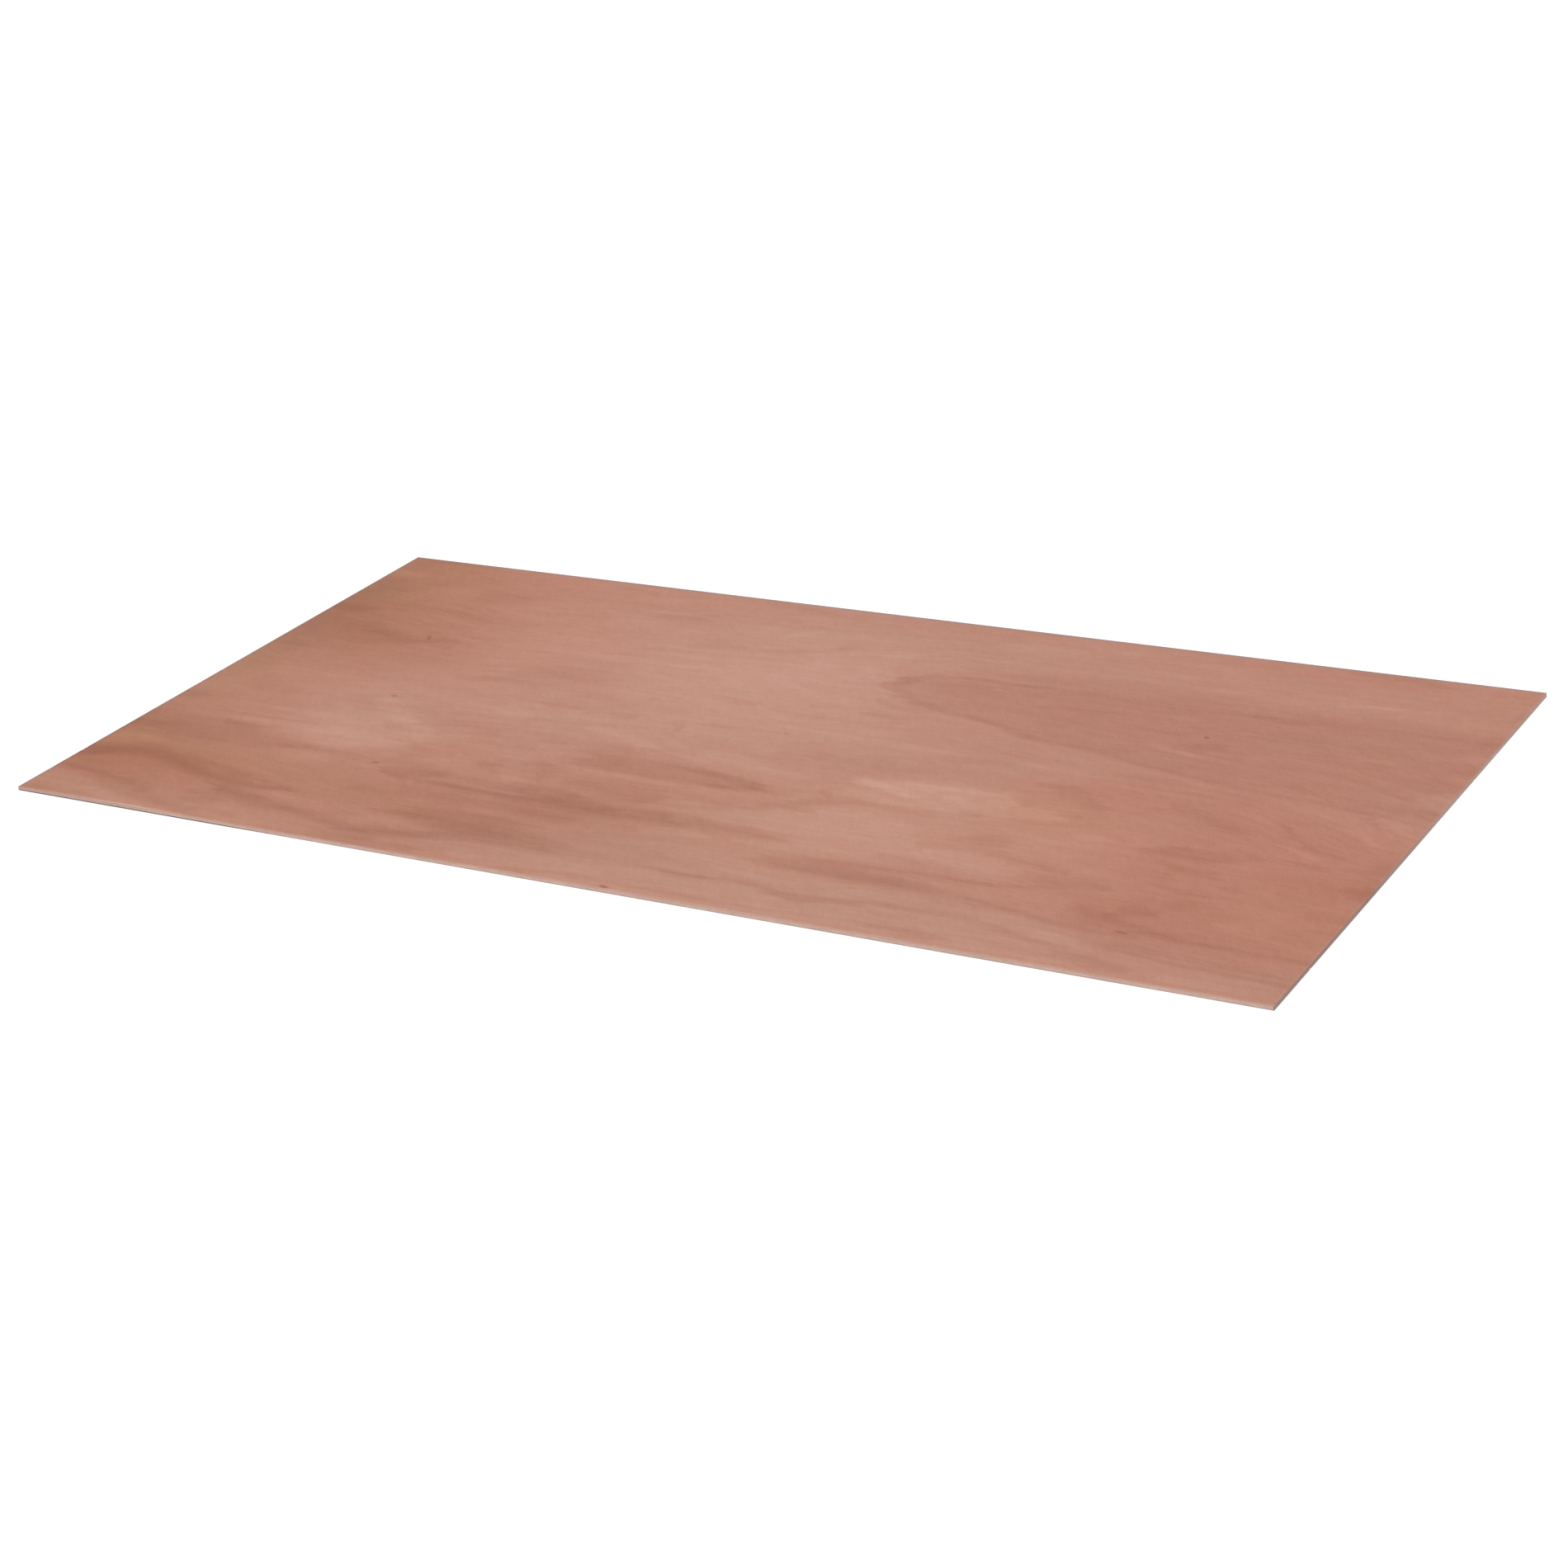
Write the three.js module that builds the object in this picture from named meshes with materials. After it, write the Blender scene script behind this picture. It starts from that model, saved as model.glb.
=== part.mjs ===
// A thin hardwood plywood sheet, laid up from three wood veneers and sawn square.
//
// Units are millimetres and +Z is up. The sheet lies flat on its back veneer. The origin is the middle
// of the underside, X runs along the sheet's length and Y across it.
//
// The grain of both outer veneers runs along X. The grain of the core veneer runs along Y, so a long
// edge shows the core's end grain and a short edge shows the end grain of the outer veneers.

import * as THREE from "three";

// Driving dimensions.
const SHEET_LENGTH = 1220; // along the grain of the face
const SHEET_WIDTH = 610; // across the grain of the face
const FACE_VENEER_THICKNESS = 0.6; // after sanding
const CORE_VENEER_THICKNESS = 2.4; // the crossband
const BACK_VENEER_THICKNESS = 0.6; // after sanding

// Finish of each veneer: bare wood that is sanded on the face and back, and sawn on the edges.
const FACE_FINISH = { color: 0xbc8c7a, roughness: 0.62, metalness: 0 };
const CORE_FINISH = { color: 0xc9a597, roughness: 0.85, metalness: 0 };
const BACK_FINISH = { color: 0xb18570, roughness: 0.74, metalness: 0 };

// The plies in the order in which they are stacked, from the underside up.
const LAY_UP = [
  { name: "back_veneer", thickness: BACK_VENEER_THICKNESS, finish: BACK_FINISH },
  { name: "core_veneer", thickness: CORE_VENEER_THICKNESS, finish: CORE_FINISH },
  { name: "face_veneer", thickness: FACE_VENEER_THICKNESS, finish: FACE_FINISH },
];

// The rectangle that the saw trims the pressed sheet to. All the plies share it, so their edges are flush.
function trimmedOutline() {
  const halfLength = SHEET_LENGTH / 2;
  const halfWidth = SHEET_WIDTH / 2;
  const outline = new THREE.Shape();
  outline.moveTo(-halfLength, -halfWidth);
  outline.lineTo(halfLength, -halfWidth);
  outline.lineTo(halfLength, halfWidth);
  outline.lineTo(-halfLength, halfWidth);
  outline.closePath();
  return outline;
}

// One veneer, from the glue line below it upwards. It is extruded one unit deep and scaled to its
// thickness, so that the glue line between two plies is exactly the same height for both.
function veneer(ply, glueLineBelow) {
  const unitDepth = { depth: 1, bevelEnabled: false };
  const geometry = new THREE.ExtrudeGeometry(trimmedOutline(), unitDepth);
  const mesh = new THREE.Mesh(geometry, new THREE.MeshStandardMaterial(ply.finish));
  mesh.name = ply.name;
  mesh.scale.z = ply.thickness;
  mesh.position.z = glueLineBelow;
  return mesh;
}

// The glued sheet, with its plies stacked face to face.
function plywoodSheet() {
  const sheet = new THREE.Group();
  sheet.name = "plywood_sheet";
  let glueLine = 0;
  for (const ply of LAY_UP) {
    sheet.add(veneer(ply, glueLine));
    glueLine += ply.thickness;
  }
  return sheet;
}

export default plywoodSheet();
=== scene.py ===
"""Dresses a thin hardwood plywood sheet and sets it on a plain studio stage.

The sheet is three glued veneers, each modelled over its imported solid. The face veneer carries the figure
of the wood: growth bands, lighter and darker streaks, and small knots. Blender's lengths are metres.
Constants and lists whose names or comments say mm are millimetres from the middle of the sheet.
"""

import math
from random import Random
from typing import NamedTuple

import bpy
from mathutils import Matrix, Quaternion, Vector


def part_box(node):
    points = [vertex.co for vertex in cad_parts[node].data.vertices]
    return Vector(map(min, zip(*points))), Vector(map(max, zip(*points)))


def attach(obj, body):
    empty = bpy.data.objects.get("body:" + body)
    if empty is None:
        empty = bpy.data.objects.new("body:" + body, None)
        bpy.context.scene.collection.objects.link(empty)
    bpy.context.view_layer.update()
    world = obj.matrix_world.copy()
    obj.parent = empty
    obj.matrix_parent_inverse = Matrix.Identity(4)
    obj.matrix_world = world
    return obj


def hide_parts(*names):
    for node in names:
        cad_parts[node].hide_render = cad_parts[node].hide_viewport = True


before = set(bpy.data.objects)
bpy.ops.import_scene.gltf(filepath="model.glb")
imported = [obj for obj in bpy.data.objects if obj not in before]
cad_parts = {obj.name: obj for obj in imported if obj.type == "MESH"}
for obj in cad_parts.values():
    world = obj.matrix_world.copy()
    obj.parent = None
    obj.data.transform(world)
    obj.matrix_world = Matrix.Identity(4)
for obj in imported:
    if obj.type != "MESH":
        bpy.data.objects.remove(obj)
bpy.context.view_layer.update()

bl_info = {
    "name": "Plywood Sheet",
    "version": (1, 0, 0),
    "blender": (4, 5, 0),
    "location": "View3D > Sidebar > Plywood",
    "description": "Models and finishes the veneers of a plywood sheet and its studio stage",
    "category": "Object",
}

MM = 0.001
BODY = "root"

FACE_NODE = "face_veneer"
CORE_NODE = "core_veneer"
BACK_NODE = "back_veneer"

FACE_LOW, FACE_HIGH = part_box(FACE_NODE)
CORE_LOW, CORE_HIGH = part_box(CORE_NODE)
BACK_LOW, BACK_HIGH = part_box(BACK_NODE)
WIDTH_MM = (FACE_HIGH.y - FACE_LOW.y) / MM
HALF_LENGTH_MM = (FACE_HIGH.x - FACE_LOW.x) / MM / 2


def srgb(red, green, blue):
    """A colour written as 0 to 255 screen levels, as linear values."""

    def linear(level):
        share = level / 255
        return share / 12.92 if share <= 0.04045 else ((share + 0.055) / 1.055) ** 2.4

    return (linear(red), linear(green), linear(blue))


# --------------------------------------------------------------------------------------------------------
# Settings that a user would change
# --------------------------------------------------------------------------------------------------------


class PlywoodShape(bpy.types.PropertyGroup):
    """How the saw and the sander left the edges of the veneers."""

    cell: bpy.props.FloatProperty(
        name="Cell", description="Size of the mesh cells on the broad faces", default=20 * MM, unit="LENGTH"
    )
    saw_pitch: bpy.props.FloatProperty(
        name="Saw pitch", description="Spacing of the points along a sawn edge",
        default=1.25 * MM, unit="LENGTH",
    )
    saw_depth: bpy.props.FloatProperty(
        name="Saw depth", description="Depth of the saw marks on the edges", default=0.16 * MM, unit="LENGTH"
    )
    core_recess: bpy.props.FloatProperty(
        name="Core recess", description="How far the soft core lies behind the veneers' edges",
        default=0.06 * MM, unit="LENGTH",
    )
    arris: bpy.props.FloatProperty(
        name="Arris", description="How far sanding has eased the outer corners",
        default=0.14 * MM, unit="LENGTH",
    )
    chips_across: bpy.props.IntProperty(
        name="Chips across", description="Splinters torn from the short sides, where the saw cuts the grain",
        default=14,
    )
    chips_along: bpy.props.IntProperty(
        name="Chips along", description="Nicks in the long sides, where the saw follows the grain", default=6
    )
    chip_depth: bpy.props.FloatProperty(
        name="Chip depth", description="Greatest depth of a splinter", default=0.7 * MM, unit="LENGTH"
    )
    chip_width: bpy.props.FloatProperty(
        name="Chip width", description="Greatest half width of a splinter", default=3 * MM, unit="LENGTH"
    )


class PlywoodColours(bpy.types.PropertyGroup):
    """The colours of the sawn edges."""

    face_edge: bpy.props.FloatVectorProperty(
        name="Face edge", description="Sawn edge of the face veneer", subtype="COLOR",
        default=srgb(196, 158, 142), min=0, max=1,
    )
    core: bpy.props.FloatVectorProperty(
        name="Core", description="Sawn edge of the core veneer", subtype="COLOR",
        default=srgb(201, 169, 158), min=0, max=1,
    )
    back_edge: bpy.props.FloatVectorProperty(
        name="Back edge", description="Sawn edge of the back veneer", subtype="COLOR",
        default=srgb(186, 163, 157), min=0, max=1,
    )


class PlywoodStage(bpy.types.PropertyGroup):
    """The camera, the lights and the floor."""

    lens: bpy.props.FloatProperty(name="Lens", description="Focal length in mm", default=74.887)
    shift: bpy.props.FloatProperty(
        name="Shift", description="Sideways shift as a share of the frame", default=-0.0404
    )
    azimuth: bpy.props.FloatProperty(
        name="Azimuth", description="Camera's bearing round the sheet", default=math.radians(31.741),
        subtype="ANGLE",
    )
    elevation: bpy.props.FloatProperty(
        name="Elevation", description="Camera's height angle", default=math.radians(23.908), subtype="ANGLE"
    )
    roll: bpy.props.FloatProperty(
        name="Roll", description="Camera's tilt about its axis", default=math.radians(-5.538), subtype="ANGLE"
    )
    distance: bpy.props.FloatProperty(
        name="Distance", description="From the camera to its aim", default=2.797, unit="LENGTH"
    )
    aim: bpy.props.FloatVectorProperty(
        name="Aim", description="Point that the camera looks at", default=(0.11104, -0.05273, 0.0),
        subtype="TRANSLATION",
    )
    sun: bpy.props.FloatProperty(name="Sun", description="Strength of the soft main light", default=1.5)
    sun_softness: bpy.props.FloatProperty(
        name="Sun softness", description="Width of the main light as an angle", default=math.radians(35),
        subtype="ANGLE",
    )
    sun_bearing: bpy.props.FloatVectorProperty(
        name="Sun bearing", description="Direction from the sheet to the main light",
        default=(0.15, -0.75, 1.0), subtype="XYZ",
    )
    sky: bpy.props.FloatProperty(
        name="Sky", description="Strength of the even light from all round", default=0.6
    )
    floor_glow: bpy.props.FloatProperty(
        name="Floor glow", description="Light added to the floor as the camera sees it", default=0.32
    )


# --------------------------------------------------------------------------------------------------------
# The figure of the face
# --------------------------------------------------------------------------------------------------------


class Streak(NamedTuple):
    """A band of lighter or darker wood that runs along the grain."""

    tone: float  # steps of lightness away from the plain wood; below 0 is darker
    blur: float  # mm over which its border fades
    points: tuple  # (x, y, half width) in mm, from left to right


class Patch(NamedTuple):
    """A soft oval of lighter, darker, redder or bluer wood, or a small knot."""

    x: float  # mm, as the next three are
    y: float
    half_length: float
    half_width: float
    tone: float  # steps of lightness or colour at its middle
    turn: float = 0.0  # degrees, for knots only


class Rim(NamedTuple):
    """A tint along one side of the face: full within full mm of the side, and gone at fade mm."""

    axis: int  # 0 for X and 1 for Y
    side: int  # 1 or -1, the side's direction on that axis
    reach: float  # mm from the middle of the sheet to the side
    full: float
    fade: float
    tint: tuple  # factors for red, green and blue


class Layer(NamedTuple):
    """Noise stretched along the grain, about strength from its lowest to its highest."""

    along: float  # mm
    across: float  # mm
    strength: float
    detail: float
    seed: float
    roughness: float = 0.55


GRAIN_LAYERS = (
    Layer(200, 5.0, 5.0, 2, 1.3),
    Layer(130, 17, 6.0, 2, 5.9),
    Layer(55, 11, 9.0, 2, 8.2),
    Layer(28, 3.6, 8.0, 2, 4.6),
    Layer(12, 1.6, 7.0, 1, 2.4),
)

# How noise bends the streaks, in mm: along the grain, gently across it, and in their ragged borders.
FEATHER = Layer(70, 7, 34.0, 2, 3.1, 0.6)
WANDER = Layer(60, 24, 5.0, 2, 11.7, 0.5)
RAVEL = Layer(34, 2.6, 7.0, 1, 13.9, 0.5)

# How unevenly the streaks took up their colour, as a factor of their tone round its middle value.
EVENNESS = Layer(75, 13, 1.6, 3, 15.1, 0.6)
EVENNESS_MIDDLE = 1.12

# Fine fibres of the face, and the open pores between them. Only the noise of these layers is used.
FIBRE = Layer(14, 0.45, 1.0, 2, 6.6, 0.5)
PORE = Layer(7, 0.3, 1.0, 1, 9.4, 0.5)
PORE_NOISE = (-0.16, -0.3)  # the noise where a pore begins, and where it is darkest
PORE_TONE = -5.0

# The face is greyer and bluer within a few millimetres of the far long side and the left end. It is paler
# along the near long side and the right end, a painted highlight on the eased arris.
RIM_TINTS_AND_HIGHLIGHTS = (
    Rim(1, 1, WIDTH_MM / 2, 1.5, 5.2, (0.77, 1.0, 1.21)),
    Rim(0, -1, HALF_LENGTH_MM, 0.5, 4.4, (0.75, 0.97, 1.2)),
    Rim(1, -1, WIDTH_MM / 2, 1.2, 3.0, (1.05, 1.23, 1.34)),
    Rim(0, 1, HALF_LENGTH_MM, 0.5, 3.5, (1.0, 1.1, 1.23)),
)

# Faint mottling that runs across the grain, as light catches fibres that lie at a slant.
MOTTLE_ANGLE = math.radians(-57)
MOTTLE_LAYERS = (
    Layer(17, 5.4, 7.0, 1, 7.7),
    Layer(4.6, 1.6, 9.0, 1, 27.1),
)

# Lines that the grain follows, from the lower edge to the upper edge, as (x, y) in mm.
GRAIN_LINES = (
    ((-610, -305), (610, -305)),
    (
        (-610, -215), (-563, -200), (-516, -198), (-454, -216), (-376, -242), (-300, -262), (-219, -272),
        (-165, -264), (-120, -257), (90, -257), (187, -264), (240, -254), (374, -257), (445, -269),
        (610, -285),
    ),
    (
        (-610, -148), (-532, -156), (-454, -148), (-391, -146), (-321, -152), (-235, -166), (-157, -173),
        (-63, -175), (15, -168), (117, -173), (300, -182), (450, -200), (610, -215),
    ),
    (
        (-610, -95), (-400, -90), (-243, -62), (-141, -60), (-63, -64), (54, -80), (132, -86), (195, -90),
        (249, -82), (327, -72), (450, -84), (610, -92),
    ),
    (
        (-610, 8), (-243, 12), (-79, 18), (93, 28), (210, 25), (312, 12), (405, 4), (470, -14), (520, -42),
        (560, -60), (610, -70),
    ),
    (
        (-610, 60), (-400, 60), (-250, 84), (-141, 82), (-63, 72), (7, 57), (93, 80), (190, 84), (300, 66),
        (400, 50), (470, 38), (530, 16), (575, -8), (610, -22),
    ),
    (
        (-610, 150), (-400, 125), (-250, 135), (-100, 148), (38, 152), (200, 140), (400, 122), (500, 112),
        (610, 88),
    ),
    (
        (-610, 205), (-547, 199), (-493, 190), (-399, 166), (-297, 168), (-204, 178), (-125, 186), (-47, 201),
        (54, 222), (171, 225), (327, 222), (484, 224), (610, 236),
    ),
    ((-610, 305), (610, 305)),
)

# Broad clouds of tone under the streaks. The lighter middle and the darker left end are partly the wood's own
# tone and partly a painted sheen.
BROAD_TONE_AND_SHEEN = (
    Patch(-640, 130, 330, 170, -16),
    Patch(-620, 270, 260, 120, -4),
    Patch(-600, 10, 200, 90, -3),
    Patch(-660, 0, 270, 700, -12),
    Patch(-560, 330, 320, 110, -6),
    Patch(-570, 35, 110, 60, 5),
    Patch(-440, 90, 110, 60, -4),
    Patch(-270, 75, 120, 45, -3),
    Patch(-80, 120, 360, 170, 13),
    Patch(-100, 0, 420, 90, 6),
    Patch(-30, 240, 240, 70, 4),
    Patch(-560, -215, 420, 110, -13),
    Patch(-160, -200, 300, 90, -7),
    Patch(-230, -300, 160, 50, -6),
    Patch(160, -110, 250, 110, 7),
    Patch(180, -295, 520, 70, 8),
    Patch(110, -222, 260, 44, 5),
    Patch(560, -130, 260, 170, -5),
    Patch(450, -25, 240, 80, -5),
    Patch(530, -228, 170, 55, -5),
    Patch(440, 300, 240, 60, -4),
    Patch(-612, 190, 60, 150, -5),
    Patch(-410, 262, 150, 60, -3),
    Patch(-490, -12, 160, 34, 4),
    Patch(556, -112, 100, 44, -5),
)

# Smaller clouds and marks, from the left end to the right one.
LEFT_END_MARKS = (
    Patch(-608, -150, 15, 64, -6),
    Patch(-602, -227, 18, 13, -7),
    Patch(-598, -108, 26, 24, -4),
    Patch(-590, 190, 60, 50, -2),
    Patch(-590, 292, 60, 30, -5),
    Patch(-588, 254, 28, 10, 4),
    Patch(-588, 262, 32, 13, 5),
    Patch(-585, -38, 40, 28, 6),
    Patch(-550, -2, 36, 15, 4),
    Patch(-540, 298, 70, 6, -6),
    Patch(-531, -285, 8, 8, -6),
    Patch(-530, 244, 28, 7, -4),
    Patch(-520, 264, 70, 34, -3),
    Patch(-502, -194, 11, 8, -6),
    # A painted highlight along the near arris at the left end.
    Patch(-500, -306, 160, 6, 17),
    Patch(-490, -275, 15, 7, -8),
    Patch(-488, -77, 18, 10, 5),
    Patch(-480, 290, 90, 30, -2),
    Patch(-470, -38, 44, 16, 3),
    Patch(-458, 222, 38, 17, -5),
    Patch(-436, 286, 13, 10, -4),
    Patch(-430, -274, 28, 10, -8),
    Patch(-420, -292, 10, 10, -6),
    Patch(-420, 64, 60, 24, -3),
    Patch(-404, 154, 13, 8, -5),
    Patch(-400, 130, 64, 10, -4),
    Patch(-395, -164, 54, 22, 6),
    Patch(-385, -112, 90, 34, 4),
    Patch(-385, -30, 46, 18, 5),
    Patch(-370, -1, 36, 12, 4),
)

LEFT_MARKS = (
    Patch(-335, 288, 22, 8, -4),
    Patch(-330, 45, 36, 12, -4),
    Patch(-322, 117, 20, 6, -4),
    Patch(-320, -10, 60, 22, 4),
    Patch(-311, -36, 15, 9, -6),
    Patch(-300, -128, 22, 34, -6),
    Patch(-282, -254, 34, 11, -5),
    Patch(-275, 40, 24, 30, -3),
    Patch(-270, 245, 44, 9, 3),
    Patch(-265, 216, 70, 18, 4),
    Patch(-262, 112, 74, 12, -4),
    Patch(-240, -285, 70, 30, -2),
    Patch(-240, -163, 15, 6, -5),
    Patch(-230, -290, 26, 15, -5),
    Patch(-225, 92, 50, 22, -4),
    Patch(-222, 66, 32, 12, -4),
    Patch(-208, -136, 36, 24, -4),
    Patch(-205, -113, 20, 6, -5),
    Patch(-200, 132, 90, 30, -3),
    Patch(-190, 7, 20, 9, -5),
    Patch(-190, 70, 16, 6, -4),
    Patch(-185, 30, 90, 36, -4),
    Patch(-182, -113, 15, 10, -7),
    Patch(-160, 225, 24, 14, 3),
    Patch(-155, -116, 30, 24, -6),
    Patch(-155, 268, 24, 30, 3),
    Patch(-150, 110, 62, 11, -3),
    Patch(-142, 150, 15, 26, -4),
    Patch(-140, 234, 40, 18, 3),
    Patch(-132, -194, 30, 11, -4),
    Patch(-132, 88, 60, 26, -2),
    Patch(-130, -290, 30, 9, 5),
    Patch(-120, -280, 60, 25, -1.5),
    Patch(-120, -90, 60, 25, -2),
    Patch(-120, 28, 34, 20, -3),
    Patch(-118, 288, 34, 14, 4),
    Patch(-105, -199, 44, 11, -5),
    Patch(-105, 270, 34, 14, 5),
    Patch(-98, 8, 16, 12, -4),
    Patch(-92, -3, 7, 13, -6),
    Patch(-78, -170, 34, 11, 4),
    Patch(-78, -37, 32, 16, 4),
    Patch(-70, -300, 38, 7, -6),
    Patch(-38, 172, 40, 24, 4),
    Patch(-5, -278, 28, 14, 5),
)

RIGHT_MARKS = (
    Patch(12, 176, 26, 36, 4),
    Patch(14, -168, 24, 8, 5),
    Patch(16, -170, 26, 10, 4),
    Patch(18, -86, 30, 7, 5),
    Patch(20, -302, 24, 5, -5),
    Patch(40, -132, 16, 11, -5),
    Patch(46, -124, 60, 26, -4),
    Patch(62, 118, 9, 8, -8),
    Patch(68, 80, 28, 7, -4),
    Patch(75, -260, 50, 9, -6),
    Patch(92, 46, 30, 12, 4),
    Patch(110, -242, 36, 10, 3),
    Patch(112, 148, 60, 36, -3),
    Patch(118, 262, 11, 9, -4),
    Patch(125, 286, 32, 11, 3),
    Patch(130, 158, 70, 30, -3),
    Patch(145, 104, 52, 9, -4),
    Patch(146, -12, 20, 10, 4),
    Patch(150, 24, 64, 17, 4),
    Patch(176, -194, 24, 6, 4),
    Patch(186, 263, 13, 8, -4),
    Patch(222, -253, 26, 8, 4),
    Patch(224, -166, 20, 12, 6),
    Patch(224, 279, 30, 13, 6),
    Patch(253, 106, 26, 9, 5),
    Patch(258, -28, 13, 26, 4),
    Patch(262, -263, 20, 6, 4),
    Patch(262, 24, 36, 14, 5),
    Patch(310, 168, 36, 12, -4),
    Patch(328, -183, 20, 6, 4),
    Patch(330, -128, 50, 20, 3),
    Patch(330, 274, 40, 13, 4),
    Patch(338, -109, 15, 7, 4),
    Patch(338, -12, 18, 7, -5),
)

RIGHT_END_MARKS = (
    Patch(350, -258, 100, 32, 4),
    Patch(370, -108, 52, 10, 4),
    Patch(378, -32, 13, 9, -4),
    Patch(378, 160, 26, 9, 3),
    Patch(402, -188, 64, 13, -4),
    Patch(424, -138, 30, 18, -5),
    Patch(430, 136, 26, 9, -4),
    Patch(434, -208, 56, 34, -5),
    Patch(448, -136, 11, 15, -5),
    Patch(448, -122, 13, 15, -4),
    Patch(455, -96, 58, 7, -4),
    Patch(470, -190, 80, 30, -1.5),
    Patch(480, -178, 24, 14, -5),
    Patch(480, 28, 60, 16, -3),
    Patch(515, -10, 24, 9, -4),
    Patch(558, -69, 20, 8, -5),
    Patch(560, 240, 90, 16, -3),
    Patch(560, 299, 66, 5, 4),
    Patch(572, 48, 38, 13, 3),
    Patch(588, -76, 26, 15, -4),
    Patch(590, -190, 40, 40, -2),
    Patch(590, 286, 40, 10, -5),
    Patch(600, 156, 22, 26, 4),
    Patch(602, 197, 18, 5, -4),
    Patch(604, -75, 24, 60, -4),
    Patch(604, 110, 24, 16, 6),
    Patch(606, 245, 9, 18, -6),
)

FACE_PATCHES = (*BROAD_TONE_AND_SHEEN, *LEFT_END_MARKS, *LEFT_MARKS, *RIGHT_MARKS, *RIGHT_END_MARKS)

# Where the wood is redder, or greener below 0. The greener middle is partly a painted sheen.
RED_PATCHES = (
    Patch(560, -90, 340, 230, 2.4),
    Patch(420, 140, 300, 100, 1.4),
    Patch(-40, 110, 300, 190, -0.9),
    Patch(0, 240, 320, 70, -1.8),
    Patch(130, -265, 460, 70, -2.8),
    Patch(-580, 190, 280, 210, 1.2),
    Patch(-600, -225, 280, 70, 2.2),
    Patch(-390, -60, 150, 70, -1.8),
    Patch(630, 40, 120, 80, -2.2),
    Patch(0, 0, 1400, 900, -0.3),
    Patch(-612, 60, 90, 340, -2.2),
    Patch(-560, -290, 190, 50, -2.2),
    Patch(600, -290, 90, 50, -2.2),
    Patch(-100, 0, 420, 60, -0.8),
    Patch(335, -4, 120, 40, 2.2),
    Patch(440, 290, 260, 40, 1.8),
    Patch(0, -212, 130, 40, -1.4),
    Patch(0, 306, 1300, 40, 1.0),
    Patch(-300, -290, 340, 50, -1.2),
    Patch(60, -150, 180, 120, -1.2),
    Patch(500, 143, 140, 44, -1.4),
    Patch(-590, 214, 70, 44, -2.2),
    Patch(-400, 292, 150, 36, 2.0),
    Patch(-600, -141, 60, 40, 2.0),
    Patch(100, -35, 90, 60, -1.2),
    Patch(596, -70, 50, 44, -1.8),
    Patch(440, -212, 100, 40, 1.4),
    Patch(-290, 143, 90, 60, 1.0),
)

# Where the wood is bluer, or yellower below 0. The bluer middle is partly a painted sheen.
BLUE_PATCHES = (
    Patch(-640, 190, 330, 240, -7.0),
    Patch(-640, -60, 200, 120, -3.4),
    Patch(-600, -205, 360, 90, -8.0),
    Patch(-606, -150, 80, 70, -2.4),
    Patch(300, 170, 520, 200, 2.6),
    Patch(280, -275, 500, 70, 3.4),
    Patch(318, -58, 105, 46, -2.8),
    Patch(0, 290, 380, 90, 1.0),
    Patch(-90, -20, 360, 60, 2.2),
    Patch(-60, 140, 260, 110, 1.6),
    Patch(180, 20, 260, 60, 1.6),
    Patch(-560, 300, 140, 60, -3.8),
    Patch(-300, -10, 300, 90, 0.9),
    Patch(600, 30, 100, 80, 2.4),
    Patch(-260, -210, 140, 44, -2.8),
    Patch(0, -235, 100, 60, 2.0),
    Patch(0, 66, 380, 70, 0.9),
    Patch(-420, -75, 130, 44, 2.0),
    Patch(250, -195, 130, 60, 1.8),
    Patch(-585, 15, 80, 44, -1.6),
    Patch(-490, 100, 80, 60, -1.6),
    Patch(-110, 214, 200, 44, 1.8),
    Patch(-240, 72, 120, 44, 1.8),
    Patch(-190, -75, 90, 44, 1.8),
    Patch(260, 65, 110, 50, 1.6),
    Patch(-96, -284, 100, 36, 1.8),
    Patch(560, -150, 100, 110, -1.4),
    Patch(590, -290, 60, 40, 1.6),
    Patch(-158, -165, 42, 9, 2.0),
    Patch(-175, -232, 60, 14, 1.6),
)

# What one step of red does to the red and the green of the wood, and one step of blue to its blue.
COLOUR_STEPS = (0.015, -0.007, 0.022)
RED_MOTTLE = Layer(70, 16, 5.0, 3, 41.3, 0.6)
BLUE_MOTTLE = Layer(50, 13, 5.5, 3, 47.9, 0.65)

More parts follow.
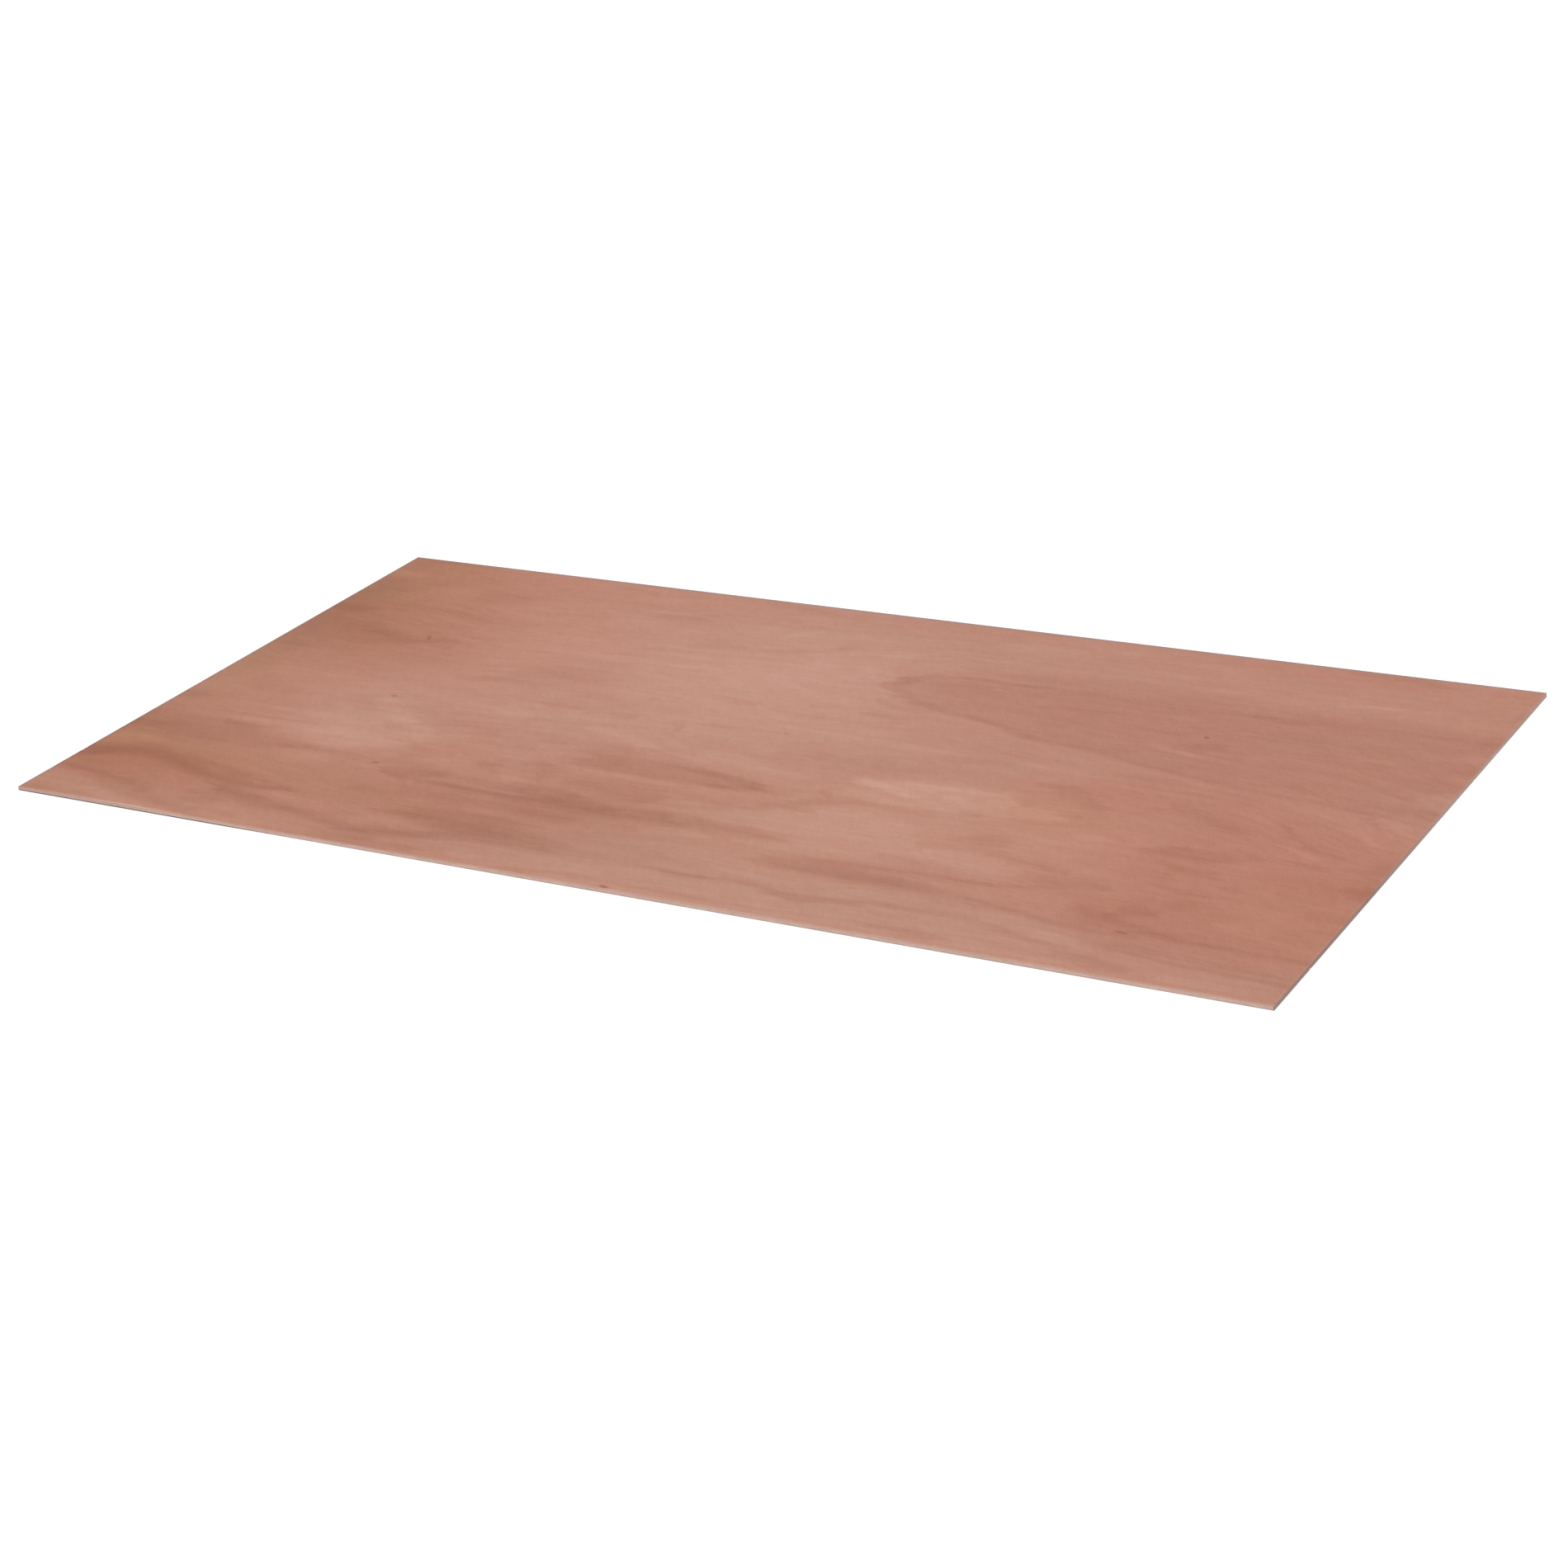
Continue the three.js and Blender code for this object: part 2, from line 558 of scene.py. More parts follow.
# The tongue of darker wood in the upper right half, and the growth lines along it.
TONGUE_STREAKS = (
    Streak(
        -7, 8,
        (
            (36, 164, 0), (46, 162, 10), (56, 158, 18), (66, 154, 24), (80, 150, 31), (100, 147, 37),
            (120, 145, 40), (150, 142, 42), (190, 138, 48), (250, 131, 57), (340, 124, 65), (450, 117, 74),
            (610, 107, 85),
        ),
    ),
    Streak(-8, 8, ((30, 150, 0), (40, 152, 9), (51, 157, 12), (63, 163, 7), (80, 168, 0))),
    Streak(-5, 8, ((44, 163, 0), (54, 171, 5), (70, 178, 4), (95, 183, 0))),
    Streak(
        -6, 10,
        (
            (42, 146, 0), (54, 138, 8), (66, 130, 11), (78, 122, 12), (90, 117, 11), (104, 111, 9),
            (122, 104, 5), (142, 101, 0),
        ),
    ),
    Streak(-6, 7, ((40, 115, 0), (56, 109, 6), (76, 101, 6), (98, 99, 5), (124, 101, 0))),
    Streak(-4, 8, ((-8, 178, 0), (30, 178, 6), (66, 182, 5), (100, 192, 5), (122, 197, 0))),
    Streak(-3, 10, ((196, 213, 0), (250, 214, 8), (320, 212, 5), (390, 211, 7), (444, 212, 0))),
    Streak(3, 5, ((236, 188, 0), (300, 185, 3), (356, 186, 0))),
    Streak(-4, 6, ((384, 27, 0), (430, 22, 4), (465, 12, 4), (492, 2, 0))),
    Streak(-4, 8, ((330, 50, 0), (365, 50, 7), (400, 46, 7), (430, 43, 5), (500, 38, 0))),
    Streak(-4, 5, ((8, 150, 0), (30, 147, 3), (54, 142, 0))),
    Streak(-7, 5, ((26, 148, 0), (38, 144, 3), (50, 138, 4), (64, 129, 0))),
    Streak(5, 6, ((258, 93, 0), (285, 86, 5), (312, 79, 0))),
    Streak(4, 8, ((528, 64, 0), (556, 56, 6), (584, 50, 0))),
    Streak(
        -8, 6,
        (
            (110, 103, 0), (145, 101, 3), (171, 96, 5), (195, 87, 6), (215, 81, 6), (240, 75, 5),
            (280, 69, 4), (310, 63, 4), (340, 55, 4), (370, 50, 5), (405, 45, 6), (430, 40, 6),
            (460, 35, 5), (500, 31, 4), (540, 27, 4), (575, 20, 3), (605, 12, 0),
        ),
    ),
    Streak(
        -7, 5,
        (
            (70, 176, 0), (90, 181, 3), (110, 183, 4), (150, 182, 4), (190, 184, 4), (225, 183, 6),
            (250, 180, 5), (285, 177, 3), (330, 176, 2), (370, 179, 3), (405, 179, 6), (430, 178, 5),
            (460, 176, 0),
        ),
    ),
    Streak(-5, 14, ((70, 194, 0), (120, 198, 11), (300, 196, 12), (450, 195, 12), (610, 197, 14))),
    Streak(
        4, 8,
        (
            (40, 226, 0), (90, 228, 3), (150, 228, 2), (300, 226, 2), (440, 224, 3), (490, 230, 3),
            (610, 232, 2),
        ),
    ),
    Streak(5, 8, ((435, 222, 0), (465, 226, 5), (495, 231, 5), (520, 234, 0))),
    Streak(4, 8, ((516, 236, 0), (540, 239, 5), (564, 240, 0))),
    Streak(-4, 8, ((320, 212, 0), (360, 212, 4), (400, 212, 0))),
    Streak(-4, 8, ((90, 172, 0), (120, 170, 7), (150, 166, 0))),
    Streak(-5, 7, ((198, 152, 0), (225, 149, 4), (255, 149, 4), (300, 150, 0))),
    Streak(-3, 10, ((188, 140, 0), (208, 141, 8), (228, 138, 0))),
    Streak(3, 6, ((310, 99, 0), (340, 96, 3), (370, 88, 3), (400, 82, 3), (500, 74, 2), (610, 66, 2))),
    Streak(6, 6, ((315, 99, 0), (335, 97, 4), (352, 92, 5), (372, 87, 4), (392, 82, 0))),
    Streak(4, 12, ((405, 100, 0), (430, 100, 10), (455, 98, 0))),
    Streak(4, 8, ((490, 118, 0), (525, 121, 5), (560, 118, 0))),
    Streak(-4, 10, ((350, 107, 0), (380, 108, 12), (404, 104, 0))),
    Streak(8, 12, ((570, 60, 0), (590, 62, 12), (610, 62, 22))),
    Streak(-5, 10, ((312, 26, 0), (345, 29, 9), (380, 28, 8), (412, 22, 0))),
    Streak(-4, 10, ((38, 93, 0), (60, 86, 9), (88, 80, 9), (120, 76, 0))),
    Streak(-5, 6, ((290, 16, 0), (330, 16, 3), (400, 14, 4), (450, 10, 4), (485, 0, 0))),
    Streak(-6, 8, ((415, 301, 0), (450, 297, 6), (485, 297, 6), (515, 292, 6), (545, 288, 0))),
)

UPPER_LEFT_STREAKS = (
    Streak(-4, 14, ((-610, 232, 20), (-570, 232, 24), (-530, 246, 12), (-480, 256, 0))),
    Streak(-6, 8, ((-610, 208, 6), (-592, 208, 6), (-568, 205, 0))),
    Streak(-5, 20, ((-510, 222, 0), (-470, 224, 14), (-435, 224, 18), (-395, 212, 0))),
    Streak(-4, 12, ((-520, 238, 0), (-460, 240, 10), (-400, 240, 6), (-340, 244, 0))),
    Streak(-10, 12, ((-610, 162, 9), (-590, 163, 8), (-565, 166, 6), (-538, 172, 0))),
    Streak(
        -4, 12,
        (
            (-590, 186, 0), (-540, 186, 9), (-460, 178, 11), (-400, 172, 7), (-350, 181, 7), (-310, 184, 0),
        ),
    ),
    Streak(-5, 8, ((-520, 190, 0), (-480, 184, 5), (-440, 176, 6), (-410, 168, 0))),
    Streak(-7, 8, ((-500, 204, 0), (-470, 200, 6), (-440, 196, 6), (-410, 192, 0))),
    Streak(-5, 8, ((-552, 200, 0), (-525, 199, 5), (-496, 196, 0))),
    Streak(-5, 9, ((-558, 172, 0), (-530, 169, 7), (-505, 165, 0))),
    Streak(-4, 8, ((-494, 150, 0), (-470, 147, 6), (-430, 148, 5), (-400, 150, 0))),
    Streak(-5, 6, ((-404, 158, 0), (-380, 157, 4), (-345, 158, 0))),
    Streak(-5, 14, ((-600, 115, 0), (-540, 118, 16), (-490, 108, 14), (-440, 108, 0))),
    Streak(-7, 7, ((-542, 112, 0), (-522, 113, 5), (-500, 109, 4), (-476, 104, 0))),
    Streak(-5, 6, ((-478, 127, 0), (-455, 128, 5), (-422, 126, 0))),
    Streak(-6, 7, ((-496, 100, 0), (-480, 101, 5), (-462, 104, 6), (-448, 110, 5), (-436, 116, 0))),
    Streak(-4, 8, ((-460, 102, 0), (-430, 99, 5), (-400, 98, 0))),
    Streak(-5, 9, ((-456, 118, 0), (-438, 116, 9), (-412, 112, 0))),
    Streak(-4, 10, ((-560, 92, 0), (-520, 90, 8), (-480, 94, 4), (-440, 98, 0))),
    Streak(-5, 8, ((-608, 62, 3), (-580, 62, 4), (-550, 62, 0))),
    Streak(4, 8, ((-602, 77, 0), (-582, 76, 6), (-558, 74, 0))),
    Streak(4, 8, ((-610, 22, 4), (-550, 14, 5), (-500, 6, 5), (-440, 3, 0))),
    Streak(3, 8, ((-398, 166, 0), (-370, 164, 4), (-330, 161, 3), (-280, 160, 0))),
    Streak(-3, 8, ((-340, 142, 0), (-300, 140, 5), (-230, 140, 3), (-190, 144, 0))),
    Streak(-4, 8, ((-252, 152, 0), (-225, 156, 5), (-190, 160, 4), (-150, 164, 0))),
    Streak(4, 8, ((-305, 130, 0), (-250, 126, 5), (-160, 128, 3), (-110, 132, 0))),
    Streak(-5, 8, ((-340, 66, 0), (-318, 64, 8), (-294, 60, 0))),
    Streak(-3, 10, ((-298, 86, 0), (-276, 91, 6), (-240, 96, 0))),
    Streak(-3, 16, ((-335, 72, 0), (-290, 74, 16), (-250, 76, 16), (-210, 76, 0))),
    Streak(-4, 10, ((-390, 34, 0), (-350, 42, 6), (-310, 48, 8), (-250, 50, 0))),
    Streak(-4, 12, ((-240, 36, 0), (-205, 38, 8), (-165, 36, 0))),
    Streak(-7, 7, ((-262, 10, 0), (-236, 9, 6), (-215, 10, 6), (-192, 11, 0))),
    Streak(-4, 8, ((-250, 36, 0), (-226, 34, 5), (-200, 32, 0))),
    Streak(-6, 7, ((-194, 10, 0), (-165, 8, 5), (-148, 10, 6), (-132, 16, 0))),
)

UPPER_MIDDLE_STREAKS = (
    Streak(
        -6, 8,
        (
            (-208, 174, 0), (-180, 177, 6), (-145, 182, 6), (-125, 183, 3), (-100, 186, 6), (-78, 190, 5),
            (-55, 194, 0),
        ),
    ),
    Streak(-3, 14, ((-215, 190, 0), (-175, 192, 10), (-140, 194, 0))),
    Streak(-5, 8, ((-60, 206, 0), (-38, 213, 6), (-10, 218, 0))),
    Streak(6, 8, ((-12, 204, 0), (8, 210, 6), (28, 215, 7), (48, 219, 0))),
    Streak(-5, 9, ((-282, 230, 0), (-252, 231, 7), (-220, 235, 7), (-198, 232, 0))),
    Streak(5, 8, ((-130, 224, 0), (-105, 230, 6), (-88, 238, 5), (-74, 242, 0))),
    Streak(-5, 8, ((-200, 299, 0), (-160, 296, 5), (-125, 292, 7), (-100, 288, 4), (-84, 286, 0))),
    Streak(4, 12, ((70, 258, 0), (130, 262, 14), (180, 262, 10), (220, 262, 0))),
    Streak(-6, 6, ((-114, 80, 0), (-88, 74, 4), (-62, 69, 5), (-40, 62, 0))),
    Streak(-3, 5, ((-50, 65, 0), (-20, 62, 3), (60, 58, 2), (130, 50, 0))),
    Streak(-3, 8, ((-95, 14, 0), (-70, 14, 4), (-40, 16, 3), (40, 18, 2), (200, 18, 2), (260, 14, 0))),
    Streak(-5, 7, ((-90, 13, 0), (-68, 15, 5), (-42, 15, 0))),
    Streak(4, 6, ((-30, 32, 0), (10, 31, 3), (70, 29, 4), (150, 27, 4), (220, 26, 0))),
    Streak(4, 8, ((40, 44, 0), (75, 44, 7), (112, 48, 0))),
    Streak(3, 5, ((150, 24, 0), (210, 28, 3), (270, 25, 3), (330, 14, 0))),
    Streak(-4, 8, ((198, 42, 0), (222, 39, 6), (250, 34, 0))),
    Streak(-3, 14, ((0, -20, 0), (60, -20, 14), (140, -18, 14), (200, -22, 0))),
    Streak(-7, 7, ((262, -2, 0), (283, -6, 6), (305, -8, 6), (325, -12, 3), (348, -12, 0))),
    Streak(-3, 6, ((310, 2, 0), (350, 2, 3), (400, 0, 3), (450, 0, 0))),
)

# The brown band at the left end, the curling growth lines below it and the pale corner.
LOWER_LEFT_STREAKS = (
    Streak(
        -7, 16,
        (
            (-610, -140, 24), (-560, -140, 24), (-500, -138, 21), (-450, -146, 12), (-400, -148, 5),
            (-340, -152, 3), (-280, -153, 0),
        ),
    ),
    Streak(-5, 8, ((-542, -160, 0), (-506, -159, 7), (-476, -160, 0))),
    Streak(
        -7, 7,
        (
            (-515, -195, 0), (-490, -198, 5), (-465, -205, 5), (-440, -211, 5), (-412, -217, 4),
            (-386, -222, 0),
        ),
    ),
    Streak(-9, 5, ((-505, -99, 0), (-480, -99, 3), (-445, -99, 3), (-400, -98, 0))),
    Streak(5, 10, ((-532, -107, 0), (-502, -111, 7), (-476, -112, 6), (-456, -110, 0))),
    Streak(-5, 6, ((-340, -103, 0), (-318, -107, 5), (-298, -108, 0))),
    Streak(-4, 8, ((-216, -60, 0), (-188, -63, 8), (-166, -64, 0))),
    Streak(-6, 6, ((-174, -127, 0), (-152, -133, 5), (-134, -138, 0))),
    Streak(-6, 6, ((-452, -148, 0), (-425, -149, 4), (-400, -145, 4), (-372, -148, 3), (-348, -146, 0))),
    Streak(-5, 8, ((-610, -146, 8), (-590, -144, 7), (-560, -140, 6), (-532, -137, 0))),
    Streak(-5, 8, ((-532, -120, 0), (-505, -121, 7), (-480, -122, 6), (-448, -122, 0))),
    Streak(-8, 9, ((-610, -78, 9), (-592, -77, 8), (-568, -73, 0))),
    Streak(
        -13, 12,
        (
            (-610, -216, 14), (-578, -208, 12), (-540, -201, 12), (-505, -209, 11), (-480, -217, 11),
            (-450, -226, 10), (-425, -230, 8), (-395, -232, 6), (-360, -230, 4), (-322, -230, 0),
        ),
    ),
    Streak(-6, 8, ((-610, -217, 12), (-585, -214, 9), (-562, -209, 0))),
    Streak(-4, 8, ((-450, -214, 0), (-420, -220, 5), (-385, -222, 4), (-348, -227, 0))),
    Streak(
        -10, 9,
        (
            (-450, -238, 0), (-420, -246, 9), (-395, -253, 11), (-372, -258, 11), (-345, -261, 9),
            (-315, -265, 8), (-285, -270, 7), (-250, -276, 5), (-215, -276, 0),
        ),
    ),
    Streak(
        -9, 8,
        (
            (-610, -248, 3), (-575, -252, 3), (-548, -257, 4), (-520, -262, 4), (-495, -267, 5),
            (-472, -275, 0),
        ),
    ),
    Streak(
        -5, 8,
        (
            (-520, -287, 0), (-497, -286, 6), (-470, -286, 6), (-445, -292, 5), (-420, -300, 6),
            (-395, -308, 0),
        ),
    ),
    Streak(-7, 8, ((-458, -258, 0), (-436, -261, 9), (-415, -266, 7), (-395, -270, 0))),
    Streak(
        9, 12,
        (
            (-610, -272, 17), (-575, -276, 17), (-540, -284, 12), (-508, -298, 8), (-465, -303, 5),
            (-430, -306, 0),
        ),
    ),
    Streak(3, 12, ((-390, -294, 0), (-350, -292, 8), (-310, -290, 8), (-260, -284, 0))),
    Streak(6, 10, ((-610, -180, 12), (-585, -180, 14), (-560, -176, 8), (-532, -174, 0))),
    Streak(
        8, 20,
        (
            (-520, -102, 0), (-460, -102, 13), (-420, -105, 23), (-380, -109, 28), (-345, -108, 23),
            (-310, -98, 13), (-272, -92, 0),
        ),
    ),
    Streak(
        6, 16,
        (
            (-415, -46, 0), (-385, -50, 10), (-355, -60, 14), (-330, -74, 14), (-305, -86, 8),
            (-270, -92, 0),
        ),
    ),
    Streak(5, 16, ((-490, -74, 0), (-440, -72, 15), (-390, -72, 18), (-350, -66, 10), (-322, -64, 0))),
    Streak(4, 7, ((-505, -78, 0), (-475, -78, 4), (-440, -82, 3), (-405, -88, 0))),
    Streak(5, 6, ((-362, -94, 0), (-340, -92, 4), (-310, -90, 4), (-280, -88, 0))),
    Streak(5, 9, ((-308, -78, 0), (-285, -80, 9), (-258, -84, 0))),
    Streak(4, 9, ((-452, -50, 0), (-430, -56, 8), (-408, -62, 0))),
    Streak(-5, 7, ((-310, -146, 0), (-270, -146, 5), (-238, -147, 0))),
    Streak(-4, 7, ((-425, -118, 0), (-395, -119, 5), (-360, -118, 0))),
    Streak(-5, 7, ((-355, -102, 0), (-336, -105, 5), (-318, -108, 0))),
    Streak(5, 10, ((-430, -28, 0), (-398, -30, 7), (-372, -26, 0))),
    Streak(-4, 7, ((-394, -38, 0), (-368, -36, 4), (-342, -37, 0))),
    Streak(6, 14, ((-308, -16, 0), (-276, -18, 11), (-250, -16, 10), (-212, -14, 0))),
    Streak(-4, 14, ((-325, -56, 0), (-290, -58, 9), (-255, -64, 8), (-225, -70, 0))),
    Streak(4, 14, ((-224, -62, 0), (-195, -70, 8), (-172, -82, 9), (-148, -92, 0))),
    Streak(
        6, 10,
        (
            (-192, -22, 0), (-160, -27, 7), (-138, -31, 6), (-115, -38, 9), (-95, -42, 7), (-76, -46, 0),
        ),
    ),
    Streak(-4, 12, ((-315, -206, 0), (-300, -206, 8), (-270, -206, 6), (-230, -208, 0))),
    Streak(-3, 16, ((-300, -196, 0), (-250, -194, 16), (-200, -196, 16), (-160, -200, 0))),
    Streak(5, 8, ((-392, -238, 0), (-362, -241, 5), (-328, -246, 0))),
    Streak(-10, 9, ((-316, -160, 0), (-292, -162, 11), (-265, -161, 11), (-248, -156, 9), (-226, -154, 0))),
    Streak(-6, 6, ((-262, -157, 0), (-225, -158, 4), (-185, -157, 4), (-150, -158, 4), (-120, -160, 0))),
    Streak(-5, 6, ((-312, -168, 0), (-290, -171, 5), (-255, -174, 4), (-215, -176, 3), (-180, -176, 0))),
    Streak(-4, 8, ((-356, -134, 0), (-338, -134, 5), (-316, -136, 0))),
    Streak(-9, 6, ((-250, -123, 0), (-222, -126, 5), (-188, -125, 0))),
    Streak(-4, 8, ((-300, -122, 0), (-278, -124, 6), (-256, -124, 0))),
    Streak(-5, 9, ((-186, -106, 0), (-166, -107, 8), (-146, -108, 0))),
    Streak(5, 10, ((-208, -138, 0), (-180, -143, 9), (-152, -146, 0))),
)

# The lens, the clouds round it, the long spear and the lines under it.
LOWER_MIDDLE_STREAKS = (
    Streak(
        -8, 10,
        (
            (-150, -92, 0), (-110, -90, 8), (-80, -88, 12), (-20, -89, 13), (25, -91, 11), (50, -93, 7),
            (74, -98, 0),
        ),
    ),
    Streak(
        -7, 6,
        (
            (-152, -80, 0), (-130, -78, 5), (-115, -75, 6), (-75, -75, 4), (-45, -74, 4), (-20, -76, 5),
            (0, -80, 5), (25, -86, 7), (45, -92, 6), (70, -98, 0),
        ),
    ),
    Streak(-4, 8, ((-160, -71, 0), (-136, -72, 8), (-108, -73, 0))),
    Streak(-6, 7, ((-160, -95, 0), (-142, -90, 4), (-122, -84, 5), (-104, -82, 4), (-86, -84, 0))),
    Streak(-6, 8, ((-262, -266, 0), (-235, -268, 6), (-205, -269, 7), (-180, -265, 6), (-158, -260, 0))),
    Streak(-6, 6, ((-205, -149, 0), (-160, -151, 4), (-112, -156, 6), (-72, -161, 0))),
    Streak(-5, 16, ((-152, -64, 0), (-125, -60, 9), (-100, -64, 8), (-74, -68, 0))),
    Streak(
        6, 12, ((-84, -52, 0), (-55, -52, 9), (-20, -46, 14), (15, -54, 10), (60, -60, 7), (102, -62, 0)),
    ),
    Streak(5, 6, ((-140, -108, 0), (-100, -110, 4), (-60, -111, 4), (-15, -112, 0))),
    Streak(-7, 14, ((-155, -126, 0), (-110, -130, 14), (-60, -134, 20), (-30, -138, 16), (-12, -142, 0))),
    Streak(-5, 8, ((-48, -122, 0), (-20, -124, 6), (10, -126, 5), (32, -130, 7), (54, -136, 0))),
    Streak(
        -7, 9,
        (
            (44, -135, 0), (62, -127, 7), (80, -117, 9), (96, -107, 9), (112, -99, 8), (132, -93, 7),
            (154, -91, 5), (178, -91, 3), (205, -94, 3), (238, -96, 0),
        ),
    ),
    Streak(
        -10, 10,
        (
            (-265, -172, 0), (-225, -173, 5), (-190, -173, 9), (-150, -171, 12), (-100, -172, 13),
            (-40, -173, 13), (0, -170, 13), (50, -171, 9), (100, -173, 5), (135, -175, 0),
        ),
    ),
    Streak(9, 5, ((-232, -169, 0), (-200, -170, 4), (-165, -171, 4), (-132, -170, 0))),
    Streak(-4, 8, ((-138, -168, 0), (-100, -170, 10), (-60, -174, 9), (-32, -178, 0))),
    Streak(-4, 14, ((-210, -196, 0), (-150, -196, 12), (-90, -196, 14), (-50, -194, 0))),
    Streak(
        -12, 11,
        (
            (-272, -237, 0), (-250, -239, 6), (-228, -238, 8), (-208, -239, 11), (-190, -242, 14),
            (-165, -245, 15), (-135, -246, 12), (-100, -248, 8), (-60, -251, 5), (-15, -254, 0),
        ),
    ),
    Streak(-8, 7, ((-252, -223, 0), (-212, -223, 5), (-170, -220, 5), (-120, -221, 4), (-60, -224, 0))),
    Streak(
        -5, 8,
        (
            (-205, -224, 0), (-165, -227, 4), (-125, -230, 8), (-95, -237, 6), (-60, -246, 4),
            (-25, -250, 0),
        ),
    ),
    Streak(
        -8, 7,
        (
            (-290, -286, 0), (-252, -281, 5), (-215, -276, 7), (-185, -268, 8), (-150, -263, 6),
            (-110, -261, 4), (-60, -260, 3), (-15, -260, 0),
        ),
    ),
    Streak(-7, 7, ((-222, -290, 0), (-182, -293, 5), (-144, -292, 0))),
    Streak(-4, 9, ((0, -234, 0), (30, -236, 5), (60, -238, 4), (100, -240, 0))),
    Streak(
        -8, 6,
        (
            (40, -262, 0), (80, -260, 4), (110, -257, 4), (138, -256, 4), (158, -259, 5), (184, -267, 9),
            (210, -264, 7), (236, -259, 5), (262, -254, 3), (300, -253, 3), (330, -255, 4), (355, -260, 6),
            (380, -266, 4), (410, -272, 3), (436, -276, 0),
        ),
    ),
    Streak(-6, 6, ((416, -275, 0), (440, -281, 4), (462, -286, 6), (480, -291, 5), (500, -296, 0))),
    Streak(
        -5, 6,
        (
            (-100, -302, 0), (-60, -298, 4), (-20, -291, 4), (50, -292, 3), (120, -294, 3), (200, -291, 3),
            (244, -288, 0),
        ),
    ),
    Streak(
        -6, 7,
        (
            (218, -285, 0), (248, -287, 4), (272, -290, 6), (300, -292, 8), (322, -290, 5), (345, -288, 0),
        ),
    ),
    Streak(-3, 7, ((46, -92, 0), (68, -90, 5), (90, -84, 4), (106, -83, 4), (122, -87, 0))),
    Streak(-8, 6, ((74, -123, 0), (92, -119, 5), (108, -117, 5), (122, -112, 0))),
    Streak(-6, 5, ((90, -74, 0), (105, -79, 5), (117, -86, 5), (128, -92, 0))),
    Streak(-6, 6, ((-30, -101, 0), (5, -101, 4), (35, -100, 4), (62, -98, 0))),
    Streak(-5, 6, ((-60, -146, 0), (-25, -148, 4), (20, -143, 4), (50, -142, 0))),
    Streak(
        -5, 6,
        (
            (-165, -98, 0), (-130, -99, 5), (-80, -101, 4), (-30, -99, 5), (20, -100, 4), (70, -98, 5),
            (96, -96, 0),
        ),
    ),
    Streak(-4, 8, ((88, -174, 0), (118, -172, 9), (148, -172, 0))),
    Streak(-5, 6, ((-66, -256, 0), (-25, -256, 4), (10, -257, 3), (45, -258, 3), (80, -260, 0))),
    Streak(2, 9, ((-24, -271, 0), (40, -270, 9), (100, -268, 7), (140, -268, 0))),
    Streak(-4, 7, ((-5, -237, 0), (30, -239, 5), (64, -239, 0))),
    Streak(5, 9, ((-28, -158, 0), (10, -157, 6), (55, -160, 6), (98, -166, 0))),
    Streak(6, 10, ((50, -192, 0), (110, -187, 8), (160, -185, 10), (200, -184, 8), (245, -187, 0))),
    Streak(7, 8, ((-20, -194, 0), (10, -195, 7), (38, -194, 7), (66, -193, 0))),
)

